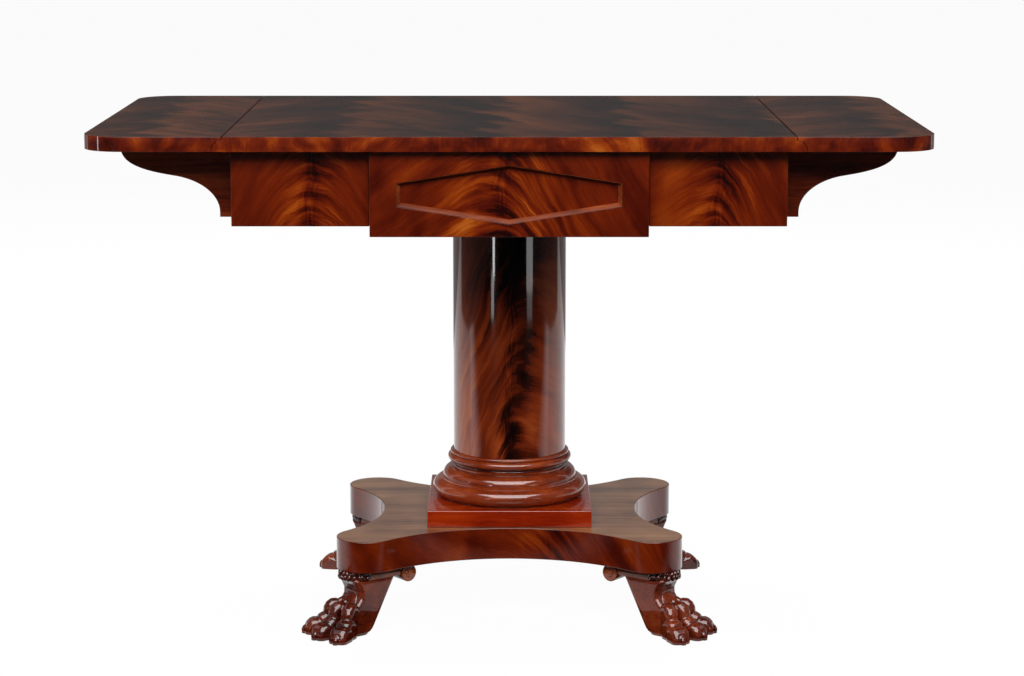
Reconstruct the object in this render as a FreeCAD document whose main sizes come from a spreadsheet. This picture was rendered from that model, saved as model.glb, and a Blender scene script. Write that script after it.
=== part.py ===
"""Pedestal sofa table with two drop leaves, four swinging fly brackets, one frieze drawer and paw feet."""
import FreeCAD, Part
import math
import os
from types import SimpleNamespace

import Sketcher
from FreeCAD import Placement, Rotation, Vector

# Driving dimensions in millimetres, read from the centre of the floor up.
DIMENSIONS = {
    "top_height": 760, "top_thickness": 21, "top_depth": 676, "top_width": 806,
    "leaf_width": 200, "leaf_corner_radius": 58,
    "rule_radius": 14.5, "rule_fillet": 5, "rule_clearance": 0.6, "rule_gap": 1,
    "hinge_station": 290, "hinge_length": 45, "hinge_fixed_reach": 34, "hinge_leaf_reach": 60,
    "hinge_plate": 2, "hinge_barrel_radius": 3, "hinge_pin_radius": 1.5, "hinge_knuckle": 15,
    "hinge_recess_room": 0.3, "hinge_barrel_room": 1.2, "hinge_tab": 3.5, "hinge_knuckle_gap": 0.3,
    "hardware_sides": 8, "screw_sides": 6, "scroll_sides": 12,
    "screw_head_radius": 3, "screw_shank_radius": 1.6, "screw_length": 13,
    "screw_edge": 7.5, "screw_spread": 13.5,
    "bearer_screw_head": 5, "bearer_screw_shank": 2.5, "bearer_screw_sink": 3.5, "bearer_screw_length": 53.5,
    "bearer_screw_station": 40,
    "frieze_width": 788, "frieze_depth": 619, "frieze_bottom": 630, "frieze_thickness": 24,
    "end_rail_thickness": 20, "stub_tenon": 12, "tenon_shoulder": 15, "cheek": 4,
    "fly_thickness": 24, "fly_bottom": 636, "fly_pivot_station": 238, "fly_centre_length": 100,
    "fly_knuckle_shoulder": 12.6, "fly_side_room": 0.3, "fly_top_room": 0.3, "fly_finger_gap": 0.5,
    "fly_pin_radius": 3, "fly_pin_cover": 6, "pin_room": 0.05,
    "bracket_reach": 175, "bracket_heel": 34, "bracket_heel_height": 7,
    "bracket_cove_radius": 51, "bracket_nose_radius": 27, "bracket_nose_drop": 2,
    "block_width": 395, "block_face": 323.5, "block_bottom": 616.6, "block_top_gap": 2, "block_thickness": 26,
    "opening_room": 1, "panel_half_width": 159.3, "panel_half_height": 41.5, "panel_side_half": 16.4,
    "panel_sink": 5, "moulding_width": 8, "moulding_proud": 0.8, "moulding_lip": 1.6, "moulding_toe": 1.2,
    "moulding_hollow": 0.9,
    "rail_height": 30, "rail_depth": 47, "upper_rail_height": 16, "runner_room": 0.3,
    "runner_width": 36, "runner_height": 18, "guide_height": 18, "guide_room": 1, "kicker_width": 24,
    "drawer_half_width": 190, "drawer_back_station": 170, "drawer_side": 10, "drawer_floor": 661,
    "drawer_wall_top": 720, "drawer_lap": 14, "drawer_back": 12, "drawer_bottom": 6, "drawer_groove": 5,
    "drawer_bottom_lift": 6, "dovetail_flare": 3,
    "bearer_width": 260, "bearer_height": 28, "bearer_tenon": 14, "bearer_tenon_inset": 20, "bearer_cheek": 8,
    "column_radius": 86.5, "spigot_radius": 26, "tenon_radius": 30, "column_foot": 242,
    "ring_radius": 95, "ring_bottom": 219, "ring_neck": 89.5, "bead_bottom": 225, "bead_ease": 5,
    "base_top_radius": 92, "cushion_radius": 105, "cushion_bottom": 205,
    "base_fillet_bottom": 201, "torus_radius": 118.5, "torus_seat_radius": 108, "torus_ease": 8,
    "plinth_width": 249, "plinth_bottom": 145, "plinth_top": 171,
    "platform_bottom": 97, "lobe_x": 214, "lobe_y": 172, "lobe_radius": 45,
    "waist_front": 127, "waist_side": 195,
    "peg_radius": 10, "peg_half_length": 22, "peg_offset": 6,
    "foot_turn": 38, "leg_width": 54, "ankle_width": 48, "heel_width": 58, "band_thickness": 13,
    "scroll_radius": 12, "scroll_station": 56, "scroll_width": 60, "heel_station": 12, "heel_radius": 14,
    "leg_back_station": 36, "collar_reach": 48, "collar_ledge": 6, "collar_length": 26, "collar_width": 60,
    "ankle_station": 31, "ankle_height": 62, "ankle_hollow": 10, "instep_run": 12, "instep_height": 44,
    "toe_root_station": 6, "toe_spread": 27, "toe_chamfer": 0.6,
    "tendon_station": 10, "tendon_half": 8, "tendon_top": 58,
    "ridge_station": 34, "ridge_half": 10, "ridge_top": 53,
    "knuckle_station": 48, "knuckle_half": 12.5, "knuckle_top": 51,
    "brow_station": 58, "brow_half": 12.5, "brow_top": 43,
    "crease_station": 63, "crease_half": 12, "crease_top": 29,
    "pad_station": 74, "pad_half": 14, "pad_top": 28,
    "nail_station": 84, "nail_half": 12.5, "nail_top": 19,
    "tip_station": 89, "tip_half": 7, "tip_top": 9,
}


class Size:
    """A length that carries its number and the formula on the sheet that gives it."""

    def __init__(self, value, text):
        self.value = float(value)
        self.text = text

    @staticmethod
    def of(other):
        return other if isinstance(other, Size) else Size(other, "(%r)" % float(other))

    def __add__(self, other):
        other = Size.of(other)
        return Size(self.value + other.value, "(%s + %s)" % (self.text, other.text))

    def __sub__(self, other):
        other = Size.of(other)
        return Size(self.value - other.value, "(%s - %s)" % (self.text, other.text))

    def __mul__(self, other):
        other = Size.of(other)
        return Size(self.value * other.value, "(%s * %s)" % (self.text, other.text))

    def __truediv__(self, other):
        other = Size.of(other)
        return Size(self.value / other.value, "(%s / %s)" % (self.text, other.text))

    def __neg__(self):
        return Size(-self.value, "(-1 * %s)" % self.text)

    def __radd__(self, other):
        return Size.of(other) + self

    def __rsub__(self, other):
        return Size.of(other) - self

    def __rmul__(self, other):
        return Size.of(other) * self

    def __float__(self):
        return self.value


doc = FreeCAD.newDocument("sofa_table")
sheet = doc.addObject("Spreadsheet::Sheet", "dims")
for row, (alias, number) in enumerate(DIMENSIONS.items(), 1):
    sheet.set("A%d" % row, alias)
    sheet.set("B%d" % row, str(number))
    sheet.setAlias("B%d" % row, alias)
doc.recompute()
D = SimpleNamespace(**{alias: Size(sheet.get(alias), "dims." + alias) for alias in DIMENSIONS})

PIECES = {}
SIDES = {"left": -1, "right": 1}
ENDS = {"front": -1, "back": 1}


# Helpers that bind objects to the sheet

def bind(obj, path, size):
    """Drive one property of an object from the sheet."""
    obj.setExpression(path, Size.of(size).text)


def keep(name, obj):
    """Name a finished sub-part."""
    obj.Label = name
    PIECES[name] = obj
    return obj


def place(obj, x=0, y=0, z=0):
    """Bind an object's position."""
    for axis, size in zip("xyz", (x, y, z)):
        bind(obj, "Placement.Base." + axis, size)
    return obj


def board(name, x, y, z):
    """A rectangular block given by its two ends on each axis, in either order."""
    obj = doc.addObject("Part::Box", name)
    starts = []
    for prop, ends in zip(("Length", "Width", "Height"), (x, y, z)):
        low, high = sorted(map(Size.of, ends), key=float)
        bind(obj, prop, high - low)
        starts.append(low)
    return place(obj, *starts)


def rod(name, radius, x, y, z, height, turn=None):
    """A round rod standing on (x, y, z), upright unless it is turned."""
    obj = doc.addObject("Part::Cylinder", name)
    bind(obj, "Radius", radius)
    bind(obj, "Height", height)
    if turn:
        obj.Placement = Placement(Vector(), turn)
    return place(obj, x, y, z)


def prism(name, radius, x, y, z, height, turn=None):
    """A many-sided rod for small repeated hardware, with its corners at the radius."""
    obj = doc.addObject("Part::Prism", name)
    bind(obj, "Polygon", D.hardware_sides)
    bind(obj, "Circumradius", radius)
    bind(obj, "Height", height)
    if turn:
        obj.Placement = Placement(Vector(), turn)
    return place(obj, x, y, z)


def flats_at(radius):
    """Corner radius of a many-sided bore whose flats lie at this radius round a pin."""
    return radius / math.cos(math.pi / float(D.hardware_sides))


def join(name, parts):
    """Several solids fused into one."""
    obj = doc.addObject("Part::MultiFuse", name)
    obj.Shapes = parts
    return obj


def group(name, parts):
    """Several solids kept apart in one object."""
    obj = doc.addObject("Part::Compound", name)
    obj.Links = parts
    return obj


def cut(name, base, tools):
    """A solid with the shapes of other pieces taken out of it."""
    obj = doc.addObject("Part::Cut", name)
    obj.Base = base
    obj.Tool = tools[0] if len(tools) == 1 else join(name + "_tools", tools)
    return obj


def new_sketch(body, name, role, offset=0):
    """A sketch on one of the body's own origin planes."""
    sketch = body.newObject("Sketcher::SketchObject", name)
    plane = next(item for item in body.Origin.OriginFeatures if item.Role == role)
    sketch.AttachmentSupport = (plane, [""])
    sketch.MapMode = "FlatFace"
    bind(sketch, "AttachmentOffset.Base.z", offset)
    return sketch


def arc_between(start, end, radius):
    """The minor arc from start to end: it turns left where the radius is positive, right where negative."""
    chord = end - start
    rise = math.sqrt(max(radius * radius - chord.Length ** 2 / 4, 0))
    side = Vector(-chord.y, chord.x, 0).normalize() * rise
    centre = (start + end) / 2 + (side if radius > 0 else -side)
    first, last = (start, end) if radius > 0 else (end, start)
    angles = [math.atan2(point.y - centre.y, point.x - centre.x) for point in (first, last)]
    circle = Part.Circle(centre, Vector(0, 0, 1), abs(radius))
    return Part.ArcOfCircle(circle, angles[0], angles[1])


def trace(sketch, corners):
    """Draw a closed outline and bind it: a corner is (x, y), or (x, y, radius) where an arc leaves it."""
    points = [Vector(float(corner[0]), float(corner[1]), 0) for corner in corners]
    ends = []
    for index, corner in enumerate(corners):
        start, end = points[index], points[(index + 1) % len(points)]
        radius = float(corner[2]) if len(corner) > 2 else 0
        shape = arc_between(start, end, radius) if radius else Part.LineSegment(start, end)
        ends.append((sketch.addGeometry(shape), (2, 1) if radius < 0 else (1, 2)))
    for index, corner in enumerate(corners):
        item, (first, last) = ends[index]
        next_item, (next_first, _) = ends[(index + 1) % len(ends)]
        sketch.addConstraint(Sketcher.Constraint("Coincident", item, last, next_item, next_first))
        for kind, axis, size in (("DistanceX", -2, corner[0]), ("DistanceY", -1, corner[1])):
            if not isinstance(size, Size) and size == 0:
                sketch.addConstraint(Sketcher.Constraint("PointOnObject", item, first, axis))
                continue
            held = sketch.addConstraint(Sketcher.Constraint(kind, -1, 1, item, first, float(size)))
            bind(sketch, "Constraints[%d]" % held, size)
        if len(corner) > 2:
            size = corner[2] if float(corner[2]) > 0 else -corner[2]
            held = sketch.addConstraint(Sketcher.Constraint("Radius", item, float(size)))
            bind(sketch, "Constraints[%d]" % held, size)


def pad(body, sketch, name, length, symmetric=False, reverse=False):
    """Extrude a sketch."""
    feature = body.newObject("PartDesign::Pad", name)
    feature.Profile = sketch
    bind(feature, "Length", length)
    feature.SideType = "Symmetric" if symmetric else "One side"
    feature.Reversed = reverse
    return feature


def padded(name, role, corners, length, symmetric=False, offset=0):
    """A body made by one extruded outline."""
    body = doc.addObject("PartDesign::Body", name + "_body")
    sketch = new_sketch(body, name + "_outline", role, offset)
    trace(sketch, corners)
    pad(body, sketch, name + "_pad", length, symmetric)
    return body


def turned(name, corners):
    """A body turned about the upright axis from its half profile of radius and height."""
    body = doc.addObject("PartDesign::Body", name + "_body")
    sketch = new_sketch(body, name + "_profile", "XZ_Plane")
    trace(sketch, corners)
    feature = body.newObject("PartDesign::Revolution", name + "_turning")
    feature.Profile = sketch
    feature.ReferenceAxis = (sketch, ["V_Axis"])
    feature.Angle = 360
    return body


def polygon(radius, sides, height):
    """Corners of a level many-sided outline about the upright axis."""
    turns = [2 * math.pi * number / round(float(sides)) for number in range(round(float(sides)))]
    radius, height = float(radius), float(height)
    return [Vector(radius * math.cos(turn), radius * math.sin(turn), height) for turn in turns]


def flat_face(points):
    """A flat face with these corners."""
    return Part.Face(Part.makePolygon(points + points[:1]))


def flat_solid(outlines):
    """A solid of flat faces through a run of outlines whose corners match."""
    faces = [flat_face(outlines[0]), flat_face(outlines[-1])]
    for near, far in zip(outlines, outlines[1:]):
        for index, corner in enumerate(near):
            after = (index + 1) % len(near)
            faces.append(flat_face([corner, near[after], far[after], far[index]]))
    shell = Part.makeShell(faces)
    if Part.makeSolid(shell).Orientation == "Reversed":
        shell.reverse()
    return Part.makeSolid(shell)


def shape_object(name, shapes):
    """Bare shapes kept apart in one object."""
    obj = doc.addObject("Part::Feature", name)
    obj.Shape = Part.makeCompound(shapes)
    return obj


# Levels and stations used by several pieces

under_top = D.top_height - D.top_thickness
joint_x = D.top_width / 2
axis_z = D.top_height - D.rule_fillet - D.rule_radius
frieze_x = D.frieze_width / 2
frieze_y = D.frieze_depth / 2
frieze_inner = frieze_y - D.frieze_thickness
fly_inner = frieze_x - D.fly_thickness
end_inner = fly_inner - D.end_rail_thickness
pivot_x = frieze_x - D.fly_thickness / 2
opening_x = D.block_width / 2 + D.opening_room
block_top = under_top - D.block_top_gap
block_back = D.block_face - D.block_thickness
rail_front = block_back - D.runner_room
rail_back = rail_front - D.rail_depth
rail_top = D.frieze_bottom + D.rail_height
upper_rail_bottom = under_top - D.upper_rail_height
bearer_top = D.frieze_bottom + D.bearer_height


# Fixed top and drop leaves with their rule joints

def build_top():
    """The fixed panel carries a rounded ovolo along each end, with square hinge recesses below."""
    fillet_z = axis_z + D.rule_radius
    reach = joint_x + D.rule_radius
    body = padded("top_panel", "XZ_Plane", [
        (-reach, under_top), (reach, under_top), (reach, axis_z, D.rule_radius),
        (joint_x, fillet_z), (joint_x, D.top_height), (-joint_x, D.top_height),
        (-joint_x, fillet_z, D.rule_radius), (-reach, axis_z)], D.top_depth, symmetric=True)
    recesses = []
    half = D.hinge_length / 2 + D.hinge_recess_room
    for side, sign in SIDES.items():
        for number, station in enumerate(hinge_stations(), 1):
            span = (station - half, station + half)
            depth = (under_top - 1, under_top + D.hinge_plate + D.hinge_recess_room)
            inner = joint_x - D.hinge_fixed_reach - D.hinge_recess_room
            recesses.append(board("top_plate_recess_%s_%d" % (side, number), (sign * inner, sign * joint_x),
                                  span, depth))
            barrel = D.hinge_barrel_radius + D.hinge_barrel_room
            recesses.append(board("top_barrel_recess_%s_%d" % (side, number),
                                  (sign * (joint_x - barrel), sign * (reach + 1)), span,
                                  (under_top - 1, axis_z + barrel)))
    pilots = pilot_holes("top_pilots", "fixed", SIDES.values())
    return keep("top_panel", cut("top_panel_worked", body, recesses + [pilots]))


def build_leaf(side, sign):
    """A leaf has rounded outer corners, and a cove that rides round the ovolo of the fixed panel."""
    name = side + "_leaf"
    start = sign * (joint_x + D.rule_gap)
    tip = sign * (joint_x + D.leaf_width)
    bend = sign * (joint_x + D.leaf_width - D.leaf_corner_radius)
    half = D.top_depth / 2
    straight = half - D.leaf_corner_radius
    radius = D.leaf_corner_radius * sign
    body = padded(name, "XY_Plane", [
        (start, -half), (bend, -half, radius), (tip, -straight), (tip, straight, radius), (bend, half),
        (start, half)], D.top_thickness, offset=under_top)
    cove = D.rule_radius + D.rule_clearance
    sketch = new_sketch(body, name + "_cove", "XZ_Plane")
    inner, outer = sign * (joint_x - D.rule_radius), sign * (joint_x + cove)
    below = under_top - D.rule_fillet
    trace(sketch, [(inner, below), (outer, below), (outer, axis_z, sign * cove),
                   (sign * joint_x, axis_z + cove), (inner, axis_z + cove)])
    pocket = body.newObject("PartDesign::Pocket", name + "_cove_cut")
    pocket.Profile = sketch
    pocket.SideType = "Symmetric"
    bind(pocket, "Length", D.top_depth * 2)
    half_plate = D.hinge_length / 2 + D.hinge_recess_room
    recesses = [board("%s_recess_%d" % (name, number), (sign * joint_x,
                      sign * (joint_x + D.hinge_leaf_reach + D.hinge_recess_room)),
                      (station - half_plate, station + half_plate),
                      (under_top - 1, under_top + D.hinge_plate + D.hinge_recess_room))
                for number, station in enumerate(hinge_stations(), 1)]
    pilots = pilot_holes(name + "_pilots", "leaf", [sign])
    return keep(name, cut(name + "_worked", body, recesses + [pilots]))


# Table hinges

def hinge_stations():
    """Hinges sit near the ends of the joint, clear of the swinging brackets."""
    return (-D.hinge_station, D.hinge_station)


def screw_spots(flap, sign):
    """Places of the screws in one flap of every hinge on one side."""
    reach = D.hinge_fixed_reach if flap == "fixed" else D.hinge_leaf_reach
    outward = -sign if flap == "fixed" else sign
    x = sign * joint_x + outward * (reach - D.screw_edge)
    stations = [station + spread * D.screw_spread for station in hinge_stations() for spread in (-1, 1)]
    return [(x, station, under_top) for station in stations]


def screw_solid(spot, head, shank, sink, length, way):
    """One countersunk wood screw with its head flush at the spot, driven up or down."""
    levels = ((head, 0), (shank, sink), (shank, length))
    screw = flat_solid([polygon(radius, D.screw_sides, height) for radius, height in levels])
    if way < 0:
        screw.rotate(Vector(), Vector(1, 0, 0), 180)
    screw.translate(Vector(*(float(size) for size in spot)))
    return screw


def hinge_screws(name, spots):
    """Hinge screws at these spots, as separate solids, also used to cut their holes."""
    sizes = (D.screw_head_radius, D.screw_shank_radius, D.hinge_plate, D.screw_length)
    return shape_object(name, [screw_solid(spot, *sizes, 1) for spot in spots])


def pilot_holes(name, flap, signs):
    """The holes that the screws of one kind of flap leave in the wood."""
    return hinge_screws(name, [spot for sign in signs for spot in screw_spots(flap, sign)])


def hinge_flap(name, sign, station, flap):
    """A plate with its knuckles: two outer ones on the fixed flap, the middle one on the leaf flap."""
    fixed = flap == "fixed"
    reach = D.hinge_fixed_reach if fixed else D.hinge_leaf_reach
    outward = -sign if fixed else sign
    barrel_x = sign * joint_x
    half = D.hinge_length / 2
    inner, gap = D.hinge_knuckle / 2, D.hinge_knuckle_gap
    plate_z = (under_top, under_top + D.hinge_plate)
    spans = [(-half, -inner - gap), (inner + gap, half)] if fixed else [(gap - inner, inner - gap)]
    parts = [board(name + "_plate", (barrel_x + outward * D.hinge_tab, barrel_x + outward * reach),
                   (station - half, station + half), plate_z)]
    along = Rotation(Vector(1, 0, 0), -90)
    for number, (low, high) in enumerate(spans, 1):
        parts.append(board("%s_tab_%d" % (name, number), (barrel_x, barrel_x + outward * D.hinge_tab),
                           (station + low, station + high), plate_z))
        parts.append(prism("%s_knuckle_%d" % (name, number), D.hinge_barrel_radius, barrel_x, station + low,
                           axis_z, high - low, along))
    bore_radius = D.hinge_pin_radius if fixed else flats_at(D.hinge_pin_radius + D.pin_room)
    bore = prism(name + "_bore", bore_radius, barrel_x, station - half, axis_z, D.hinge_length, along)
    return cut(name, join(name + "_blank", parts), [bore])


def build_hinges(side, sign):
    """Two table hinges on one side: fixed flaps, leaf flaps, pins and screws."""
    for flap in ("fixed", "leaf"):
        flaps = []
        for number, station in enumerate(hinge_stations(), 1):
            flaps.append(hinge_flap("%s_%s_flap_%d" % (side, flap, number), sign, station, flap))
        sinks = hinge_screws("%s_%s_countersinks" % (side, flap), screw_spots(flap, sign))
        plates = group("%s_%s_flaps" % (side, flap), flaps)
        keep("%s_hinge_%s_plates" % (side, flap), cut("%s_%s_plates" % (side, flap), plates, [sinks]))
    along = Rotation(Vector(1, 0, 0), -90)
    pins = [prism("%s_pin_%d" % (side, number), D.hinge_pin_radius, sign * joint_x,
                  station - D.hinge_length / 2, axis_z, D.hinge_length, along)
            for number, station in enumerate(hinge_stations(), 1)]
    keep("%s_hinge_pins" % side, group("%s_pins" % side, pins))
    keep("%s_leaf_hinge_screws" % side, hinge_screws("%s_leaf_screws" % side, screw_spots("leaf", sign)))


def build_fixed_screws():
    """All screws of the fixed flaps."""
    keep("fixed_hinge_screws", pilot_holes("fixed_screws", "fixed", SIDES.values()))


# Frieze

def build_rails():
    """Drawer rails and end rails, each with its stub tenons, so that mortises can be cut by them."""
    bar_x, bar_y = (-opening_x, opening_x), (-rail_front, -rail_back)
    tenon_x = (-opening_x - D.stub_tenon, opening_x + D.stub_tenon)
    tenon_y = (-frieze_inner, -frieze_inner - D.stub_tenon)
    lower = join("lower_rail_parts", [
        board("lower_rail_bar", bar_x, bar_y, (D.frieze_bottom, rail_top)),
        board("lower_rail_tenon", tenon_x, tenon_y, (D.frieze_bottom + D.cheek, rail_top - D.cheek))])
    upper = join("upper_rail_parts", [
        board("upper_rail_bar", bar_x, bar_y, (upper_rail_bottom, under_top)),
        board("upper_rail_tenon", tenon_x, tenon_y, (upper_rail_bottom + D.cheek, under_top - D.cheek))])
    ends = {}
    for side, sign in SIDES.items():
        tenon = frieze_inner + D.stub_tenon
        ends[side] = join(side + "_end_parts", [
            board(side + "_end_bar", (sign * end_inner, sign * fly_inner), (-frieze_inner, frieze_inner),
                  (D.frieze_bottom, under_top)),
            board(side + "_end_tenon", (sign * (end_inner + D.cheek), sign * (fly_inner - D.cheek)),
                  (-tenon, tenon), (D.frieze_bottom + D.tenon_shoulder, under_top - D.tenon_shoulder))])
    return lower, upper, ends


def build_frieze():
    """Front panels beside the drawer, the long back panel, end rails, drawer rails, runners and kickers."""
    lower, upper, ends = build_rails()
    half_bearer = D.bearer_width / 2
    bearer = join("bearer_parts", [
        board("bearer_board", (-half_bearer, half_bearer), (-rail_back, frieze_inner),
              (D.frieze_bottom, bearer_top)),
        board("bearer_tenon", (D.bearer_tenon_inset - half_bearer, half_bearer - D.bearer_tenon_inset),
              (-rail_back - D.bearer_tenon, frieze_inner + D.stub_tenon),
              (D.frieze_bottom + D.bearer_cheek, bearer_top - D.bearer_cheek))])
    for side, sign in SIDES.items():
        panel = board("front_panel_" + side, (sign * opening_x, sign * frieze_x), (-frieze_y, -frieze_inner),
                      (D.frieze_bottom, under_top))
        keep("front_frieze_" + side, cut("front_frieze_worked_" + side, panel, [lower, upper, ends[side]]))
        keep(side + "_end_rail", ends[side])
    back = board("back_panel", (-frieze_x, frieze_x), (frieze_inner, frieze_y), (D.frieze_bottom, under_top))
    keep("back_frieze", cut("back_frieze_worked", back, list(ends.values()) + [bearer]))
    keep("drawer_lower_rail", cut("lower_rail_worked", lower, [bearer]))
    spigot = rod("bearer_bore", D.spigot_radius, 0, 0, D.frieze_bottom - 1, D.bearer_height + 2)
    keep("pedestal_bearer", cut("bearer_worked", bearer, [spigot, bearer_screws("bearer_clearance")]))
    keep("bearer_screws", bearer_screws("bearer_screw_group"))
    guide_x = D.drawer_half_width + D.guide_room
    guide_end = D.drawer_half_width + D.guide_room + D.drawer_side * 2
    for side, sign in SIDES.items():
        runner = padded(side + "_runner", "XZ_Plane", [
            (sign * (guide_end - D.runner_width), rail_top - D.runner_height),
            (sign * guide_end, rail_top - D.runner_height), (sign * guide_end, rail_top + D.guide_height),
            (sign * guide_x, rail_top + D.guide_height), (sign * guide_x, rail_top),
            (sign * (guide_end - D.runner_width), rail_top)], rail_back + frieze_inner, offset=-frieze_inner)
        keep(side + "_drawer_runner", runner)
        kicker = board(side + "_kicker", (sign * (guide_x - D.kicker_width), sign * guide_x),
                       (-rail_back, frieze_inner), (upper_rail_bottom, under_top))
        keep(side + "_drawer_kicker", kicker)
    keep("drawer_upper_rail", upper)


def bearer_screws(name):
    """Four stout screws driven down through the bearer into the column, also used to cut their holes."""
    offset = D.bearer_screw_station
    spots = [(sx * offset, sy * offset, bearer_top) for sx in SIDES.values() for sy in ENDS.values()]
    sizes = (D.bearer_screw_head, D.bearer_screw_shank, D.bearer_screw_sink, D.bearer_screw_length)
    return shape_object(name, [screw_solid(spot, *sizes, -1) for spot in spots])


# Fly brackets on wooden knuckle joints

def finger_levels():
    """Three levels of the knuckle: the block holds the first and the last, the bracket the middle one."""
    top = under_top - D.fly_top_room
    step = (top - D.fly_bottom) / 3
    return [(D.fly_bottom + step * number, D.fly_bottom + step * (number + 1)) for number in range(3)]


def on_pivot(make, name, radius, sx, sy):
    """A fly pin, or the bore for one: open below and stopped short of the top."""
    return make(name, radius, sx * pivot_x, sy * D.fly_pivot_station, D.fly_bottom,
                under_top - D.fly_bottom - D.fly_pin_cover)


def build_fly_block(name, sx, sy):
    """A fixed block behind the frieze end, with two round-nosed fingers that hold the pin."""
    pivot_y = sy * D.fly_pivot_station
    x_span = (sx * fly_inner, sx * frieze_x)
    shoulder = sy * (D.fly_pivot_station + D.fly_knuckle_shoulder)
    parts = [board(name + "_stock", x_span, (sy * frieze_inner, shoulder),
                   (D.fly_bottom, under_top))]
    for number in (0, 2):
        low, high = finger_levels()[number]
        if number == 2:
            high = under_top
        parts.append(board("%s_finger_%d" % (name, number), x_span, (shoulder, pivot_y), (low, high)))
        parts.append(prism("%s_nose_%d" % (name, number), D.fly_thickness / 2, sx * pivot_x, pivot_y, low,
                           high - low))
    bore = on_pivot(prism, name + "_bore", flats_at(D.fly_pin_radius), sx, sy)
    keep(name, cut(name + "_worked", join(name + "_parts", parts), [bore]))


def build_bracket(name, sx, sy):
    """A swung-out bracket: a plank with an S-shaped lower edge and a finger on the pin."""
    pivot_y = sy * D.fly_pivot_station
    top = under_top - D.fly_top_room
    thick = D.fly_thickness - D.fly_side_room * 2
    root = pivot_x + D.fly_knuckle_shoulder
    heel = pivot_x + D.bracket_heel
    tip = pivot_x + D.bracket_reach
    cove_z = D.fly_bottom + D.bracket_heel_height
    cove_x = heel + D.bracket_cove_radius
    nose_x = tip - D.bracket_nose_radius
    nose_z = top - D.bracket_nose_drop
    run = float(nose_x - cove_x)
    rise = float(nose_z - cove_z)
    span = float(D.bracket_cove_radius + D.bracket_nose_radius)
    lean = math.atan2(run, rise) - math.acos(span / math.hypot(run, rise))
    side, up = math.sin(lean), math.cos(lean)
    cove_end = (cove_x + D.bracket_cove_radius * side, cove_z + D.bracket_cove_radius * up)
    nose_start = (nose_x - D.bracket_nose_radius * side, nose_z - D.bracket_nose_radius * up)
    corners = [(root, top), (root, D.fly_bottom), (heel, D.fly_bottom),
               (heel, cove_z, -D.bracket_cove_radius), cove_end, nose_start + (D.bracket_nose_radius,),
               (tip, nose_z), (tip, top)]
    corners = [(corner[0] * sx, corner[1]) + tuple(size * sx for size in corner[2:]) for corner in corners]
    plank = padded(name + "_plank", "XZ_Plane", corners, thick, symmetric=True, offset=-pivot_y)
    low, high = finger_levels()[1]
    low, high = low + D.fly_finger_gap, high - D.fly_finger_gap
    finger = board(name + "_finger", (sx * pivot_x, sx * root), (pivot_y - thick / 2, pivot_y + thick / 2),
                   (low, high))
    nose = prism(name + "_nose", thick / 2, sx * pivot_x, pivot_y, low, high - low)
    bore = on_pivot(prism, name + "_bore", flats_at(D.fly_pin_radius + D.pin_room), sx, sy)
    keep(name, cut(name + "_worked", join(name + "_parts", [plank, finger, nose]), [bore]))


def build_fly_supports():
    """Blocks, brackets and steel pins at the four corners, and the filler between the folded brackets."""
    for side, sx in SIDES.items():
        for end, sy in ENDS.items():
            corner = "%s_%s" % (end, side)
            build_fly_block(corner + "_fly_block", sx, sy)
            build_bracket(corner + "_fly_bracket", sx, sy)
            keep(corner + "_fly_pin", on_pivot(rod, corner + "_pin", D.fly_pin_radius, sx, sy))
        half = D.fly_centre_length / 2
        keep(side + "_fly_filler", board(side + "_filler", (sx * fly_inner, sx * frieze_x), (-half, half),
                                         (D.fly_bottom, under_top)))


# Drawer

def hexagon(shrink=0):
    """Corners of the long sunk panel as half sizes about its centre, drawn in by the moulding's width."""
    wide, tall, side = D.panel_half_width, D.panel_half_height, D.panel_side_half
    slope = math.atan2(float(tall - side), float(wide))
    apex = shrink / math.cos(slope)
    corner = shrink * math.tan(slope) - apex
    return [(wide - shrink, side + corner), (wide * 0, tall - apex), (shrink - wide, side + corner),
            (shrink - wide, -side - corner), (wide * 0, apex - tall), (wide - shrink, -side - corner)]


def panel_centre():
    """Height of the sunk panel's centre."""
    return (D.block_bottom + block_top) / 2


def panel_block(name, y_face, y_back, way):
    """A block with a long hexagonal sinking in its face."""
    half = D.block_width / 2
    blank = board(name + "_blank", (-half, half), (y_face, y_back), (D.block_bottom, block_top))
    corners = [(x, panel_centre() + z) for x, z in hexagon()]
    start = -y_face - D.panel_sink if way > 0 else -y_face
    sinking = padded(name + "_sinking", "XZ_Plane", corners, D.panel_sink, offset=start)
    return cut(name + "_faced", blank, [sinking])


def moulding_section(outer, inner, y_face, way):
    """Section of the moulding at one mitre: a small lip, then a hollow that falls to the sunk panel."""
    floor = y_face + way * float(D.panel_sink)
    lip = y_face - way * float(D.moulding_proud)
    low = floor - way * float(D.moulding_toe)
    edge = outer + (inner - outer) * float(D.moulding_lip / D.moulding_width)
    middle = (edge + inner) / 2
    hollow = (lip + low) / 2 + way * float(D.moulding_hollow)
    corners = [(outer, floor), (outer, lip), (edge, lip), (middle, hollow), (inner, low), (inner, floor)]
    return [Vector(spot.x, y, spot.y) for spot, y in corners]


def build_moulding(name, y_face, way):
    """Six mitred strips round the sunk panel, each running between its two mitres."""
    centre = float(panel_centre())
    outer = [Vector(float(x), float(z) + centre, 0) for x, z in hexagon()]
    inner = [Vector(float(x), float(z) + centre, 0) for x, z in hexagon(D.moulding_width)]
    sections = [moulding_section(o, i, float(y_face), way) for o, i in zip(outer, inner)]
    strips = [flat_solid(pair) for pair in zip(sections, sections[1:] + sections[:1])]
    return keep(name, shape_object(name + "_strips", strips))


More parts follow.
